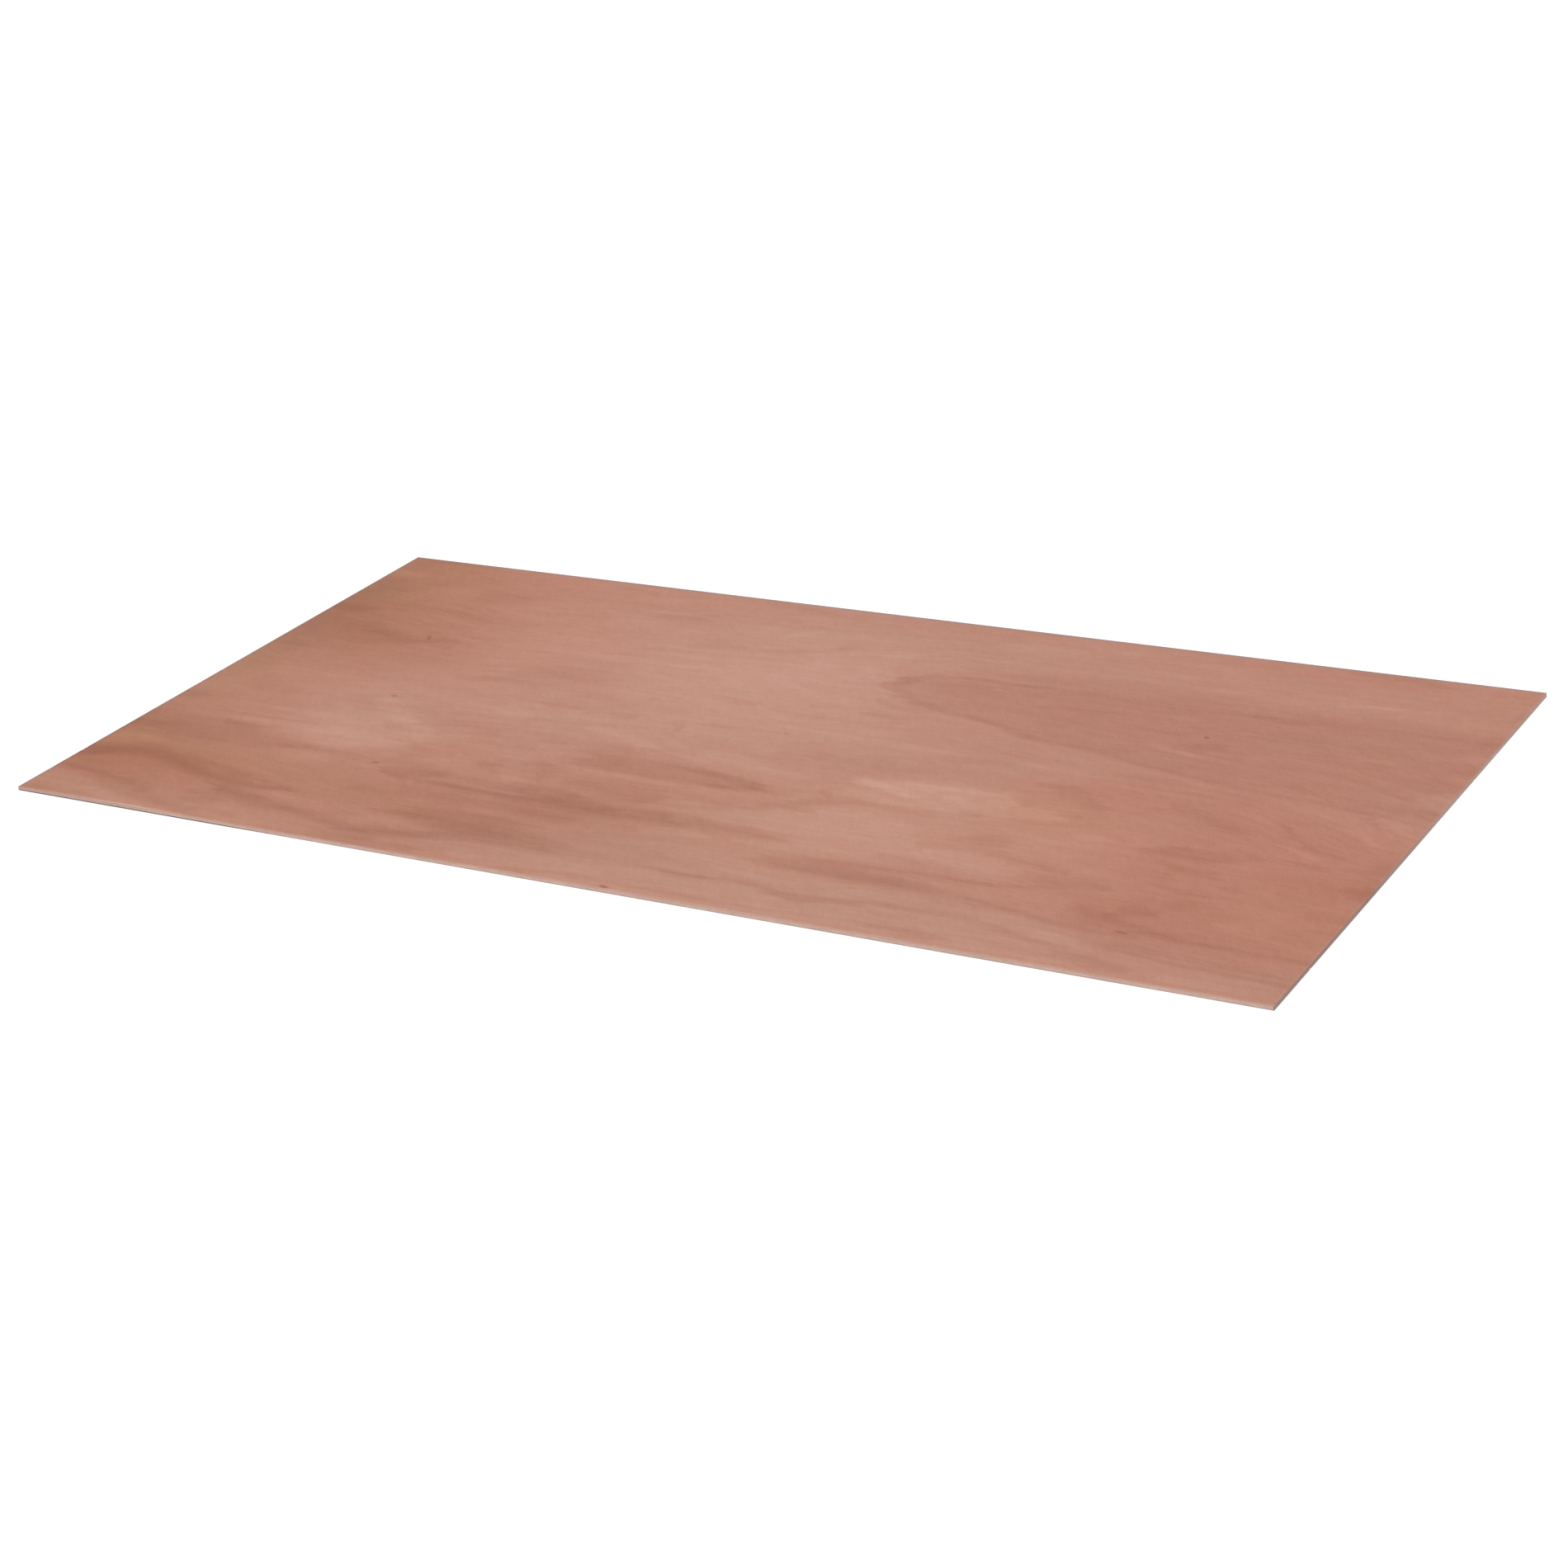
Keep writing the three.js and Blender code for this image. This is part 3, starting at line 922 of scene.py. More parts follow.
# The pale flames right of the middle and the dark spear under them.
LOWER_RIGHT_STREAKS = (
    Streak(
        8, 8,
        (
            (100, -46, 0), (118, -48, 6), (150, -53, 13), (190, -56, 20), (215, -57, 21), (245, -56, 19),
            (264, -53, 14), (282, -50, 0),
        ),
    ),
    Streak(
        5, 7, ((104, -46, 0), (125, -49, 5), (150, -55, 6), (175, -62, 7), (195, -68, 7), (216, -74, 0)),
    ),
    Streak(6, 8, ((256, -62, 0), (282, -62, 10), (305, -62, 11), (334, -68, 0))),
    Streak(
        9, 7, ((106, -66, 0), (128, -71, 5), (155, -76, 7), (185, -79, 6), (215, -80, 5), (248, -82, 0)),
    ),
    Streak(4, 8, ((122, -42, 0), (165, -38, 6), (205, -35, 7), (250, -36, 7), (278, -42, 0))),
    Streak(-6, 6, ((148, -58, 0), (170, -61, 3), (194, -65, 3), (214, -69, 0))),
    Streak(5, 8, ((198, -56, 0), (220, -57, 8), (240, -60, 0))),
    Streak(5, 9, ((244, -74, 0), (265, -75, 9), (290, -77, 0))),
    Streak(-5, 6, ((215, -88, 0), (250, -82, 3), (290, -79, 3), (325, -77, 2), (350, -74, 0))),
    Streak(4, 8, ((296, -102, 0), (325, -108, 6), (354, -114, 0))),
    Streak(5, 8, ((333, -92, 0), (362, -88, 7), (392, -88, 0))),
    Streak(4, 8, ((350, -140, 0), (380, -146, 5), (408, -152, 0))),
    Streak(-5, 10, ((238, -136, 0), (262, -128, 10), (290, -122, 14), (314, -128, 0))),
    Streak(
        5, 12,
        (
            (-25, -140, 0), (10, -140, 7), (50, -138, 12), (90, -138, 24), (130, -142, 36), (180, -144, 38),
            (212, -146, 28), (242, -148, 0),
        ),
    ),
    Streak(
        7, 8,
        (
            (214, -164, 0), (245, -162, 12), (280, -162, 16), (320, -166, 12), (345, -171, 4),
            (362, -172, 0),
        ),
    ),
    Streak(-4, 7, ((255, -132, 0), (290, -140, 4), (330, -147, 4), (365, -156, 5), (395, -166, 0))),
    Streak(-6, 8, ((322, -171, 0), (340, -171, 6), (362, -172, 7), (400, -170, 10), (424, -172, 0))),
    Streak(4, 6, ((260, -184, 0), (292, -183, 4), (350, -180, 0))),
    Streak(5, 7, ((318, -156, 0), (338, -158, 5), (362, -162, 0))),
    Streak(
        -9, 8,
        (
            (94, -213, 0), (118, -214, 8), (150, -214, 11), (185, -215, 13), (225, -216, 12),
            (255, -217, 9), (285, -219, 6), (320, -222, 4), (350, -229, 3), (380, -234, 3), (410, -238, 3),
            (440, -240, 2), (462, -242, 0),
        ),
    ),
    Streak(-4, 6, ((138, -216, 0), (160, -218, 5), (200, -219, 6), (240, -219, 6), (264, -220, 0))),
    Streak(
        -8, 6,
        (
            (132, -201, 0), (165, -199, 4), (195, -198, 6), (225, -196, 6), (250, -195, 5), (280, -196, 4),
            (310, -196, 4), (335, -192, 3), (355, -187, 2), (372, -182, 2), (394, -174, 0),
        ),
    ),
    Streak(2, 8, ((260, -206, 0), (290, -206, 5), (330, -211, 5), (376, -216, 0))),
    Streak(5, 9, ((85, -241, 0), (160, -242, 7), (250, -240, 6), (340, -242, 6), (430, -249, 0))),
    Streak(7, 7, ((376, -258, 0), (405, -258, 6), (425, -260, 6), (455, -266, 4), (492, -272, 0))),
)

RIGHT_END_STREAKS = (
    Streak(
        -9, 9, ((394, -98, 0), (412, -96, 5), (430, -93, 9), (452, -92, 11), (480, -91, 9), (510, -91, 0)),
    ),
    Streak(-6, 7, ((510, -80, 0), (530, -80, 4), (550, -81, 5), (577, -81, 0))),
    Streak(-5, 7, ((445, -103, 0), (468, -104, 5), (495, -103, 0))),
    Streak(-7, 8, ((410, -101, 0), (430, -110, 5), (448, -118, 7), (472, -123, 9), (502, -127, 0))),
    Streak(-9, 10, ((566, -113, 0), (590, -113, 5), (603, -113, 10), (610, -113, 12))),
    Streak(-8, 7, ((436, -150, 0), (458, -154, 6), (480, -158, 5), (508, -160, 0))),
    Streak(-4, 16, ((400, -182, 0), (450, -180, 10), (500, -178, 12), (560, -182, 0))),
    Streak(-6, 10, ((386, -198, 0), (402, -205, 7), (418, -213, 11), (438, -221, 9), (460, -227, 0))),
    Streak(
        -9, 7,
        (
            (422, -209, 0), (440, -214, 6), (456, -220, 6), (474, -226, 7), (490, -229, 5), (520, -232, 4),
            (560, -233, 3), (610, -236, 3),
        ),
    ),
    Streak(-8, 7, ((420, -199, 0), (438, -199, 7), (458, -200, 8), (480, -205, 0))),
    Streak(-6, 7, ((382, -221, 0), (410, -228, 5), (440, -233, 5), (466, -237, 7), (488, -237, 0))),
    Streak(-5, 9, ((558, -166, 0), (585, -162, 8), (610, -160, 8))),
    Streak(-5, 8, ((478, -72, 0), (497, -80, 9), (515, -90, 0))),
    Streak(4, 8, ((505, -200, 0), (530, -200, 7), (560, -204, 0))),
    Streak(-8, 5, ((463, -262, 0), (485, -265, 3), (510, -269, 3), (555, -272, 3), (610, -274, 4))),
    Streak(-6, 6, ((488, -139, 0), (507, -141, 5), (532, -142, 0))),
    Streak(-8, 8, ((412, -254, 0), (436, -260, 6), (458, -263, 7), (480, -265, 0))),
    Streak(-5, 9, ((440, -251, 0), (472, -256, 7), (505, -260, 6), (560, -262, 4), (610, -263, 4))),
    Streak(6, 6, ((384, -267, 0), (408, -268, 5), (430, -270, 0))),
    Streak(-5, 7, ((402, -277, 0), (430, -285, 5), (456, -292, 5), (484, -299, 0))),
    Streak(5, 12, ((490, -290, 0), (540, -292, 10), (605, -294, 0))),
    Streak(
        -6, 8, ((386, -14, 0), (408, -19, 7), (425, -23, 6), (446, -33, 8), (466, -40, 6), (488, -50, 0)),
    ),
    Streak(3, 7, ((440, -2, 0), (470, -10, 4), (490, -22, 5), (510, -36, 0))),
    Streak(
        -7, 7, ((478, -12, 0), (496, -24, 5), (514, -37, 5), (534, -50, 6), (560, -59, 6), (595, -66, 0)),
    ),
    Streak(-5, 8, ((515, 40, 0), (548, 26, 5), (565, 6, 6), (582, -12, 0))),
    Streak(4, 7, ((503, -50, 0), (530, -61, 5), (552, -72, 4), (574, -76, 0))),
    Streak(6, 9, ((538, -4, 0), (560, -14, 7), (580, -26, 4), (602, -34, 0))),
    Streak(6, 9, ((563, 16, 0), (584, 6, 6), (600, -4, 6), (610, -10, 6))),
    Streak(-4, 8, ((280, -20, 0), (310, -22, 12), (335, -30, 12), (360, -36, 0))),
    Streak(-5, 6, ((316, -43, 0), (334, -56, 4), (352, -67, 0))),
    Streak(-3, 10, ((585, -70, 0), (600, -66, 12), (610, -66, 14))),
)

FACE_STREAKS = (
    *TONGUE_STREAKS, *UPPER_LEFT_STREAKS, *UPPER_MIDDLE_STREAKS, *LOWER_LEFT_STREAKS,
    *LOWER_MIDDLE_STREAKS, *LOWER_RIGHT_STREAKS, *RIGHT_END_STREAKS,
)

# Steps of lightness away from the plain wood, and the wood's colour there.
TONE_COLOURS = (
    (-36, srgb(149, 91, 69)),
    (-20, srgb(163, 106, 83)),
    (-8, srgb(176, 119, 97)),
    (0, srgb(184, 128, 106)),
    (15, srgb(196, 145, 124)),
    (30, srgb(208, 163, 144)),
)

BACK_COLOURS = (
    (-40, srgb(112, 72, 54)),
    (-18, srgb(142, 98, 76)),
    (0, srgb(168, 118, 94)),
    (15, srgb(184, 137, 113)),
    (30, srgb(198, 155, 132)),
)

# Spread and middle of the roughness of each surface, and the shine of them all.
FACE_ROUGHNESS = (0.16, 0.6)
BACK_ROUGHNESS = (0.2, 0.72)
SAWN_ROUGHNESS = (0.2, 0.82)
WOOD_SHINE = 0.3

# The growth lines of the underside: long arches round one place, each so much longer than it is wide.
BACK_HEART_MM = (-210.0, 60.0, 0.0)
BACK_ARCH_STRETCH = 7.0
BACK_ARCH_PITCH = 19.0
BACK_ARCH_TONE = -15.0
BACK_ARCH_LINE = 0.45  # half width of a line, as a share of the pitch

# How noise bends the arches, in mm: as a whole and along each line. The last is how strong the lines are.
BACK_ARCH_SPREAD = Layer(420, 110, 130.0, 2, 41.3, 0.5)
BACK_ARCH_RAGGED = Layer(60, 5, 9.0, 2, 43.9, 0.5)
BACK_ARCH_STRENGTH = Layer(130, 16, 1.8, 3, 47.2, 0.6)
BACK_ARCH_MIDDLE = 0.8

# The underside's own clouds and fibres, and what sets its grain apart from the face's.
BACK_CLOUDS = Layer(400, 60, 40.0, 2, 21.0, 0.5)
BACK_FIBRE = Layer(14, 0.45, 1.0, 2, 36.6, 0.5)
BACK_GRAIN_GAIN = 1.4
BACK_GRAIN_ROUGHNESS = 0.6
BACK_GRAIN_SEED = 30

BACK_PATCHES = (
    Patch(-420, -120, 300, 120, -6),
    Patch(120, 210, 360, 90, 6),
    Patch(380, -60, 260, 110, -5),
    Patch(-60, -230, 300, 70, 5),
    Patch(560, 180, 160, 120, -4),
)

BACK_KNOTS = (
    Patch(-340, 190, 12.0, 6.0, -26, turn=15),
    Patch(95, -40, 9.0, 5.0, -24, turn=-20),
    Patch(430, 225, 7.0, 3.6, -22, turn=5),
    Patch(-520, -235, 6.0, 3.2, -20, turn=-10),
    Patch(255, -250, 5.0, 2.8, -22, turn=30),
)

# Noise cells to the mm along X, Y and Z on sawn wood: its fibres and its growth bands, for grain along X
# or along Y, the marks of the saw, and the stains of handling.
FIBRE_CELLS = {"X": (1 / 18, 1 / 0.35, 1 / 0.35), "Y": (1 / 0.35, 1 / 18, 1 / 0.35)}
BAND_CELLS = {"X": (1 / 90, 1 / 3, 1 / 1.2), "Y": (1 / 7, 1 / 90, 1 / 1.2)}
SAW_CELLS = (0.8, 0.8, 0.12)
STAIN_CELLS = (0.02, 0.02, 0.0)

# Fades on the sawn sides: from here to here in mm, and the level at the first place and at the last.
# Painted shade: the long sides darken towards the left end.
LONG_SIDE_SHADE = (-530, -420, 0.9, 1.01)  # by x
# Partly painted shade and partly the darker look of end grain: the short sides darken towards the near
# corner.
SHORT_SIDE_SHADE = (-140, 100, 0.68, 0.97)  # by y
SHORT_SIDES = (HALF_LENGTH_MM - 0.8, HALF_LENGTH_MM - 0.6, 0.0, 1.0)  # by x, whichever its sign
GLUE_FADE = (0.16, 0.04, 0.0, 1.0)  # by distance from a glue line
# Painted shade: a contact shadow painted along the foot of the sawn sides at the left end, up to this height
# and from this place.
PAINTED_CONTACT_SHADE_HEIGHT = (1.1, 0.8, 0.0, 1.0)  # by z
PAINTED_CONTACT_SHADE_PLACE = (-300, -380, 0.0, 1.0)  # by x

# Colour of the painted contact shadow at the foot of the sides.
PAINTED_CONTACT_SHADE_COLOUR = srgb(98, 86, 86)
GLUE_COLOUR = srgb(112, 72, 54)
GLUE_STRENGTH = 0.3

KNOTS = (
    Patch(-457, 116, 9.0, 3.6, -19, turn=125),
    Patch(-399, -19, 6.0, 3.4, -20, turn=-10),
    Patch(-319, -154, 6.0, 3.4, -20, turn=-10),
    Patch(368, 125, 4.0, 2.8, -30, turn=-10),
    Patch(456, -235, 8.0, 2.8, -18, turn=-8),
    Patch(24, -301, 7.0, 3.0, -26, turn=-15),
    Patch(8, 19, 4.0, 2.4, -10, turn=-40),
    Patch(-91, 254, 6.0, 2.4, -10, turn=-15),
    Patch(-272, 81, 4.0, 2.0, -8, turn=-40),
)


# --------------------------------------------------------------------------------------------------------
# Node graphs
# --------------------------------------------------------------------------------------------------------


class Graph:
    """The node tree of one material, with a short way to add each kind of linked node."""

    COLUMNS = 14
    SPACING = (190, 260)

    def __init__(self, tree):
        self.tree = tree
        tree.nodes.clear()

    def feed(self, socket, value):
        """Links a socket to value if value is a socket, and otherwise sets it."""
        if isinstance(value, bpy.types.NodeSocket):
            self.tree.links.new(value, socket)
        else:
            socket.default_value = value

    def node(self, kind, inputs=None, **settings):
        """Adds a node. inputs maps the names or numbers of its input sockets to values."""
        made = self.tree.nodes.new(kind)
        row, column = divmod(len(self.tree.nodes) - 1, self.COLUMNS)
        made.location = (column * self.SPACING[0], -row * self.SPACING[1])
        for name, value in settings.items():
            setattr(made, name, value)
        for name, value in (inputs or {}).items():
            self.feed(made.inputs[name], value)
        return made

    def math(self, operation, *values, clamp=False):
        made = self.node("ShaderNodeMath", dict(enumerate(values)), operation=operation, use_clamp=clamp)
        return made.outputs[0]

    def vector(self, operation, *values):
        inputs = dict(enumerate(values))
        if operation == "SCALE":
            inputs = {0: values[0], "Scale": values[1]}
        made = self.node("ShaderNodeVectorMath", inputs, operation=operation)
        return made.outputs["Value" if operation in ("LENGTH", "DOT_PRODUCT") else "Vector"]

    def split(self, vector):
        return self.node("ShaderNodeSeparateXYZ", {0: vector}).outputs

    def join(self, x=0.0, y=0.0, z=0.0):
        return self.node("ShaderNodeCombineXYZ", {0: x, 1: y, 2: z}).outputs[0]

    def ramp(self, value, low, high, start=0.0, end=1.0, smooth=True):
        """start to end as value goes from low to high, held at both ends."""
        inputs = {"Value": value, "From Min": low, "From Max": high, "To Min": start, "To Max": end}
        # A smooth step holds its ends by itself, and only a straight one needs the clamp.
        kind = "SMOOTHSTEP" if smooth else "LINEAR"
        made = self.node("ShaderNodeMapRange", inputs, interpolation_type=kind, clamp=not smooth)
        return made.outputs["Result"]

    def curve(self, value, points):
        """A smooth curve through points, whose x and y are 0 to 1. It is held at both ends."""
        made = self.node("ShaderNodeFloatCurve", {"Value": value})
        made.mapping.extend = "HORIZONTAL"
        curve = made.mapping.curves[0]
        curve.points[0].location = points[0]
        curve.points[1].location = points[-1]
        for x, y in points[1:-1]:
            curve.points.new(x, y)
        for point in curve.points:
            point.handle_type = "AUTO_CLAMPED"
        made.mapping.update()
        return made.outputs["Value"]

    def noise(self, vector, detail, roughness):
        """Noise with one cell to each unit of the vector, about -0.5 to 0.5."""
        inputs = {"Vector": vector, "Scale": 1.0, "Detail": detail, "Roughness": roughness}
        return self.math("SUBTRACT", self.node("ShaderNodeTexNoise", inputs).outputs["Fac"], 0.5)

    def plain_layer(self, plan, layer):
        """The noise of a layer without its strength."""
        cells = (1 / layer.along, 1 / layer.across, 1 / layer.across)
        scaled = self.vector("MULTIPLY_ADD", plan, cells, (layer.seed, layer.seed, layer.seed))
        return self.noise(scaled, layer.detail, layer.roughness)

    def layer(self, plan, layer, base):
        """The base with a layer added."""
        return self.math("MULTIPLY_ADD", self.plain_layer(plan, layer), layer.strength, base)

    def speckle(self, plan, cells, detail, roughness=0.5):
        """Noise with so many cells to the mm along each axis."""
        return self.noise(self.vector("MULTIPLY", plan, cells), detail, roughness)

    def turned(self, vector, angle):
        """The vector in a frame that is turned about Z by angle."""
        inputs = {"Vector": vector, "Angle": -angle}
        return self.node("ShaderNodeVectorRotate", inputs, rotation_type="Z_AXIS").outputs[0]

    def mix(self, factor, first, second, blend="MIX"):
        """A mix of two colours. The node's sockets 6, 7 and 2 are those for colours."""
        made = self.node("ShaderNodeMix", {0: factor}, data_type="RGBA", blend_type=blend)
        self.feed(made.inputs[6], first)
        self.feed(made.inputs[7], second)
        return made.outputs[2]

    def group(self, tree, inputs):
        """The one output of a node group."""
        made = self.node("ShaderNodeGroup", node_tree=tree)
        for name, value in inputs.items():
            self.feed(made.inputs[name], value)
        return made.outputs[0]

    def plan_mm(self):
        """Object coordinates in millimetres."""
        place = self.node("ShaderNodeTexCoord").outputs["Object"]
        return self.vector("MULTIPLY", place, (1 / MM, 1 / MM, 1 / MM))


# How far a streak's border reaches out of it and into it, as shares of its blur.
BORDER_OUT = 0.4
BORDER_IN = 0.6

# A curve only holds 0 to 1, so the one that gives a streak's half width has this for no width.
NO_WIDTH = 0.5

# How much wider every streak's border is drawn than its blur says.
STREAK_SOFTNESS = 1.5

KNOT_CORE = 0.3  # share of the way out up to which a knot is even


def rgba(colour):
    return (*colour, 1.0)


def group_sockets(tree, inputs, output):
    """Gives a node group its input sockets and its one output socket, all of them from (name, kind)."""
    for name, kind in inputs:
        tree.interface.new_socket(name, in_out="INPUT", socket_type=f"NodeSocket{kind}")
    tree.interface.new_socket(output, in_out="OUTPUT", socket_type="NodeSocketFloat")


def streak_group():
    """A node group that adds the tone of one soft band, which fades in from Outer to Inner."""
    tree = bpy.data.node_groups.new("Streak", "ShaderNodeTree")
    names = ("Across", "Centre", "Half Width", "Outer", "Inner", "Tone", "Base")
    group_sockets(tree, [(name, "Float") for name in names], "Tone")
    graph = Graph(tree)
    given = graph.node("NodeGroupInput").outputs
    away = graph.math("ABSOLUTE", graph.math("SUBTRACT", given["Across"], given["Centre"]))
    inside = graph.math("SUBTRACT", given["Half Width"], away)
    body = graph.ramp(inside, given["Outer"], given["Inner"])
    tone = graph.math("MULTIPLY_ADD", body, given["Tone"], given["Base"])
    graph.node("NodeGroupOutput", {"Tone": tone})
    return tree


def patch_group():
    """A node group that adds the tone of one soft oval, whose border is 1 from its middle once scaled."""
    tree = bpy.data.node_groups.new("Patch", "ShaderNodeTree")
    vectors = [(name, "Vector") for name in ("Plan", "Scale", "Offset")]
    group_sockets(tree, vectors + [(name, "Float") for name in ("Tone", "Base")], "Tone")
    graph = Graph(tree)
    given = graph.node("NodeGroupInput").outputs
    scaled = graph.vector("MULTIPLY_ADD", given["Plan"], given["Scale"], given["Offset"])
    spot = graph.ramp(graph.vector("LENGTH", scaled), 1.0, 0.0)
    tone = graph.math("MULTIPLY_ADD", spot, given["Tone"], given["Base"])
    graph.node("NodeGroupOutput", {"Tone": tone})
    return tree


def knot_group():
    """A node group that adds the tone of one small turned oval, which is even up to KNOT_CORE."""
    tree = bpy.data.node_groups.new("Knot", "ShaderNodeTree")
    vectors = [(name, "Vector") for name in ("Plan", "Place", "Length Axis", "Width Axis")]
    group_sockets(tree, vectors + [(name, "Float") for name in ("Tone", "Base")], "Tone")
    graph = Graph(tree)
    given = graph.node("NodeGroupInput").outputs
    offset = graph.vector("SUBTRACT", given["Plan"], given["Place"])
    along = graph.vector("DOT_PRODUCT", offset, given["Length Axis"])
    across = graph.vector("DOT_PRODUCT", offset, given["Width Axis"])
    square = graph.math("MULTIPLY_ADD", across, across, graph.math("MULTIPLY", along, along))
    spot = graph.ramp(graph.math("SQRT", square), 1.0, KNOT_CORE)
    tone = graph.math("MULTIPLY_ADD", spot, given["Tone"], given["Base"])
    graph.node("NodeGroupOutput", {"Tone": tone})
    return tree


def share_along(graph, x, points):
    """How far x is along the points, from 0 at the first to 1 at the last."""
    start, span = points[0][0], points[-1][0] - points[0][0]
    return graph.math("MULTIPLY_ADD", x, 1 / span, -start / span)


def line_through(graph, along, points, values):
    """A smooth curve through values at the points' places along the grain. along is 0 to 1."""
    start, span = points[0][0], points[-1][0] - points[0][0]
    return graph.curve(along, [((point[0] - start) / span, value) for point, value in zip(points, values)])


def share_across(y):
    """A place across the sheet in mm, as a share of the width."""
    return y / WIDTH_MM + 0.5


def follow_grain(graph, x, share):
    """Straightens the grain: a coordinate in mm that is constant along each of GRAIN_LINES."""
    along = share_along(graph, x, GRAIN_LINES[0])
    lines = [line_through(graph, along, line, [share_across(p[1]) for p in line]) for line in GRAIN_LINES]
    straight = -WIDTH_MM / 2
    for index, (lower, upper) in enumerate(zip(GRAIN_LINES, GRAIN_LINES[1:])):
        step = mean_height(upper) - mean_height(lower)
        rise = graph.ramp(share, lines[index], lines[index + 1], 0.0, step, smooth=False)
        straight = graph.math("ADD", straight, rise)
    return straight


def mean_height(points):
    return sum(point[1] for point in points) / len(points)


def add_streak(graph, group, x, share, streak, tone):
    """Adds one streak's tone to the tone so far. share is the place across the sheet, 0 to 1."""
    points = streak.points
    blur = STREAK_SOFTNESS * streak.blur / WIDTH_MM
    along = share_along(graph, x, points)
    centre = line_through(graph, along, points, [share_across(point[1]) for point in points])
    # A half width of 0 marks a tip, where even the soft border has to end.
    widths = [point[2] / WIDTH_MM if point[2] else -BORDER_OUT * blur for point in points]
    inputs = {
        "Across": share,
        "Centre": centre,
        "Half Width": line_through(graph, along, points, [NO_WIDTH + width for width in widths]),
        "Outer": NO_WIDTH - BORDER_OUT * blur,
        "Inner": NO_WIDTH + BORDER_IN * blur,
        "Tone": streak.tone,
        "Base": tone,
    }
    return graph.group(group, inputs)


def add_patch(graph, group, plan, patch, tone):
    """Adds one patch's tone to the tone so far."""
    inputs = {
        "Plan": plan,
        "Scale": (1 / patch.half_length, 1 / patch.half_width, 0),
        "Offset": (-patch.x / patch.half_length, -patch.y / patch.half_width, 0),
        "Tone": patch.tone,
        "Base": tone,
    }
    return graph.group(group, inputs)


def add_knot(graph, group, plan, knot, tone):
    """Adds one knot's tone to the tone so far."""
    cosine, sine = math.cos(math.radians(knot.turn)), math.sin(math.radians(knot.turn))
    inputs = {
        "Plan": plan,
        "Place": (knot.x, knot.y, 0),
        "Length Axis": (cosine / knot.half_length, sine / knot.half_length, 0),
        "Width Axis": (-sine / knot.half_width, cosine / knot.half_width, 0),
        "Tone": knot.tone,
        "Base": tone,
    }
    return graph.group(group, inputs)


def face_tone(graph, plan, patches):
    """The lightness of the face in steps from the plain wood, and the straightened grain coordinates."""
    feather, wander, ravel = (graph.plain_layer(plan, layer) for layer in (FEATHER, WANDER, RAVEL))
    x, y, _ = graph.split(plan)
    share = graph.math("MULTIPLY_ADD", y, 1 / WIDTH_MM, 0.5)
    warped_x = graph.math("MULTIPLY_ADD", feather, FEATHER.strength, x)
    smooth_share = graph.math("MULTIPLY_ADD", wander, WANDER.strength / WIDTH_MM, share)
    warped_share = graph.math("MULTIPLY_ADD", ravel, RAVEL.strength / WIDTH_MM, smooth_share)
    flow = graph.join(x, follow_grain(graph, x, smooth_share), 0.0)
    evenness = graph.layer(plan, EVENNESS, EVENNESS_MIDDLE)
    streaks, knots = streak_group(), knot_group()
    tone, figure = 0.0, 0.0
    for patch in FACE_PATCHES:
        tone = add_patch(graph, patches, plan, patch, tone)
    for knot in KNOTS:
        tone = add_knot(graph, knots, plan, knot, tone)
    for streak in FACE_STREAKS:
        figure = add_streak(graph, streaks, warped_x, warped_share, streak, figure)
    tone = graph.math("MULTIPLY_ADD", figure, evenness, tone)
    for layer in GRAIN_LAYERS:
        tone = graph.layer(flow, layer, tone)
    slant = graph.turned(plan, MOTTLE_ANGLE)
    for layer in MOTTLE_LAYERS:
        tone = graph.layer(slant, layer, tone)
    return tone, flow


def finish_wood(graph, colour, roughness, normal):
    """The wood shader and the material output."""
    inputs = {"Base Color": colour, "Roughness": roughness, "Normal": normal}
    shader = graph.node("ShaderNodeBsdfPrincipled", inputs)
    shader.inputs["Specular IOR Level"].default_value = WOOD_SHINE
    graph.node("ShaderNodeOutputMaterial", {"Surface": shader.outputs[0]})


def new_material(name):
    material = bpy.data.materials.new(name)
    material.use_nodes = True
    return material, Graph(material.node_tree)


def tone_colour(graph, tone, colours):
    """The colour of wood at a tone, from a list of (tone, colour)."""
    low, high = colours[0][0], colours[-1][0]
    made = graph.node("ShaderNodeValToRGB", {"Fac": graph.ramp(tone, low, high, smooth=False)})
    stops = made.color_ramp.elements
    stops[0].color = rgba(colours[0][1])
    stops[1].color = rgba(colours[-1][1])
    for level, colour in colours[1:-1]:
        stops.new((level - low) / (high - low)).color = rgba(colour)
    return made.outputs[0]


def relief(graph, layers):
    """The normal of a surface whose height is a sum of (height in mm, -0.5 to 0.5 socket) layers."""
    total = 0.0
    for height, layer in layers:
        total = graph.math("MULTIPLY_ADD", layer, height, total)
    return graph.node("ShaderNodeBump", {"Strength": 1.0, "Distance": MM, "Height": total}).outputs[0]


def tinted_and_highlit_rims(graph, plan, colour):
    """Tints the last few millimetres of the face along each of its sides. The pale tints of the near long
    side and the right end are a painted highlight.
    """
    places = graph.split(plan)
    for rim in RIM_TINTS_AND_HIGHLIGHTS:
        outwards = graph.math("MULTIPLY", places[rim.axis], rim.side)
        amount = graph.ramp(outwards, rim.reach - rim.fade, rim.reach - rim.full)
        colour = graph.mix(amount, colour, rgba(rim.tint), "MULTIPLY")
    return colour


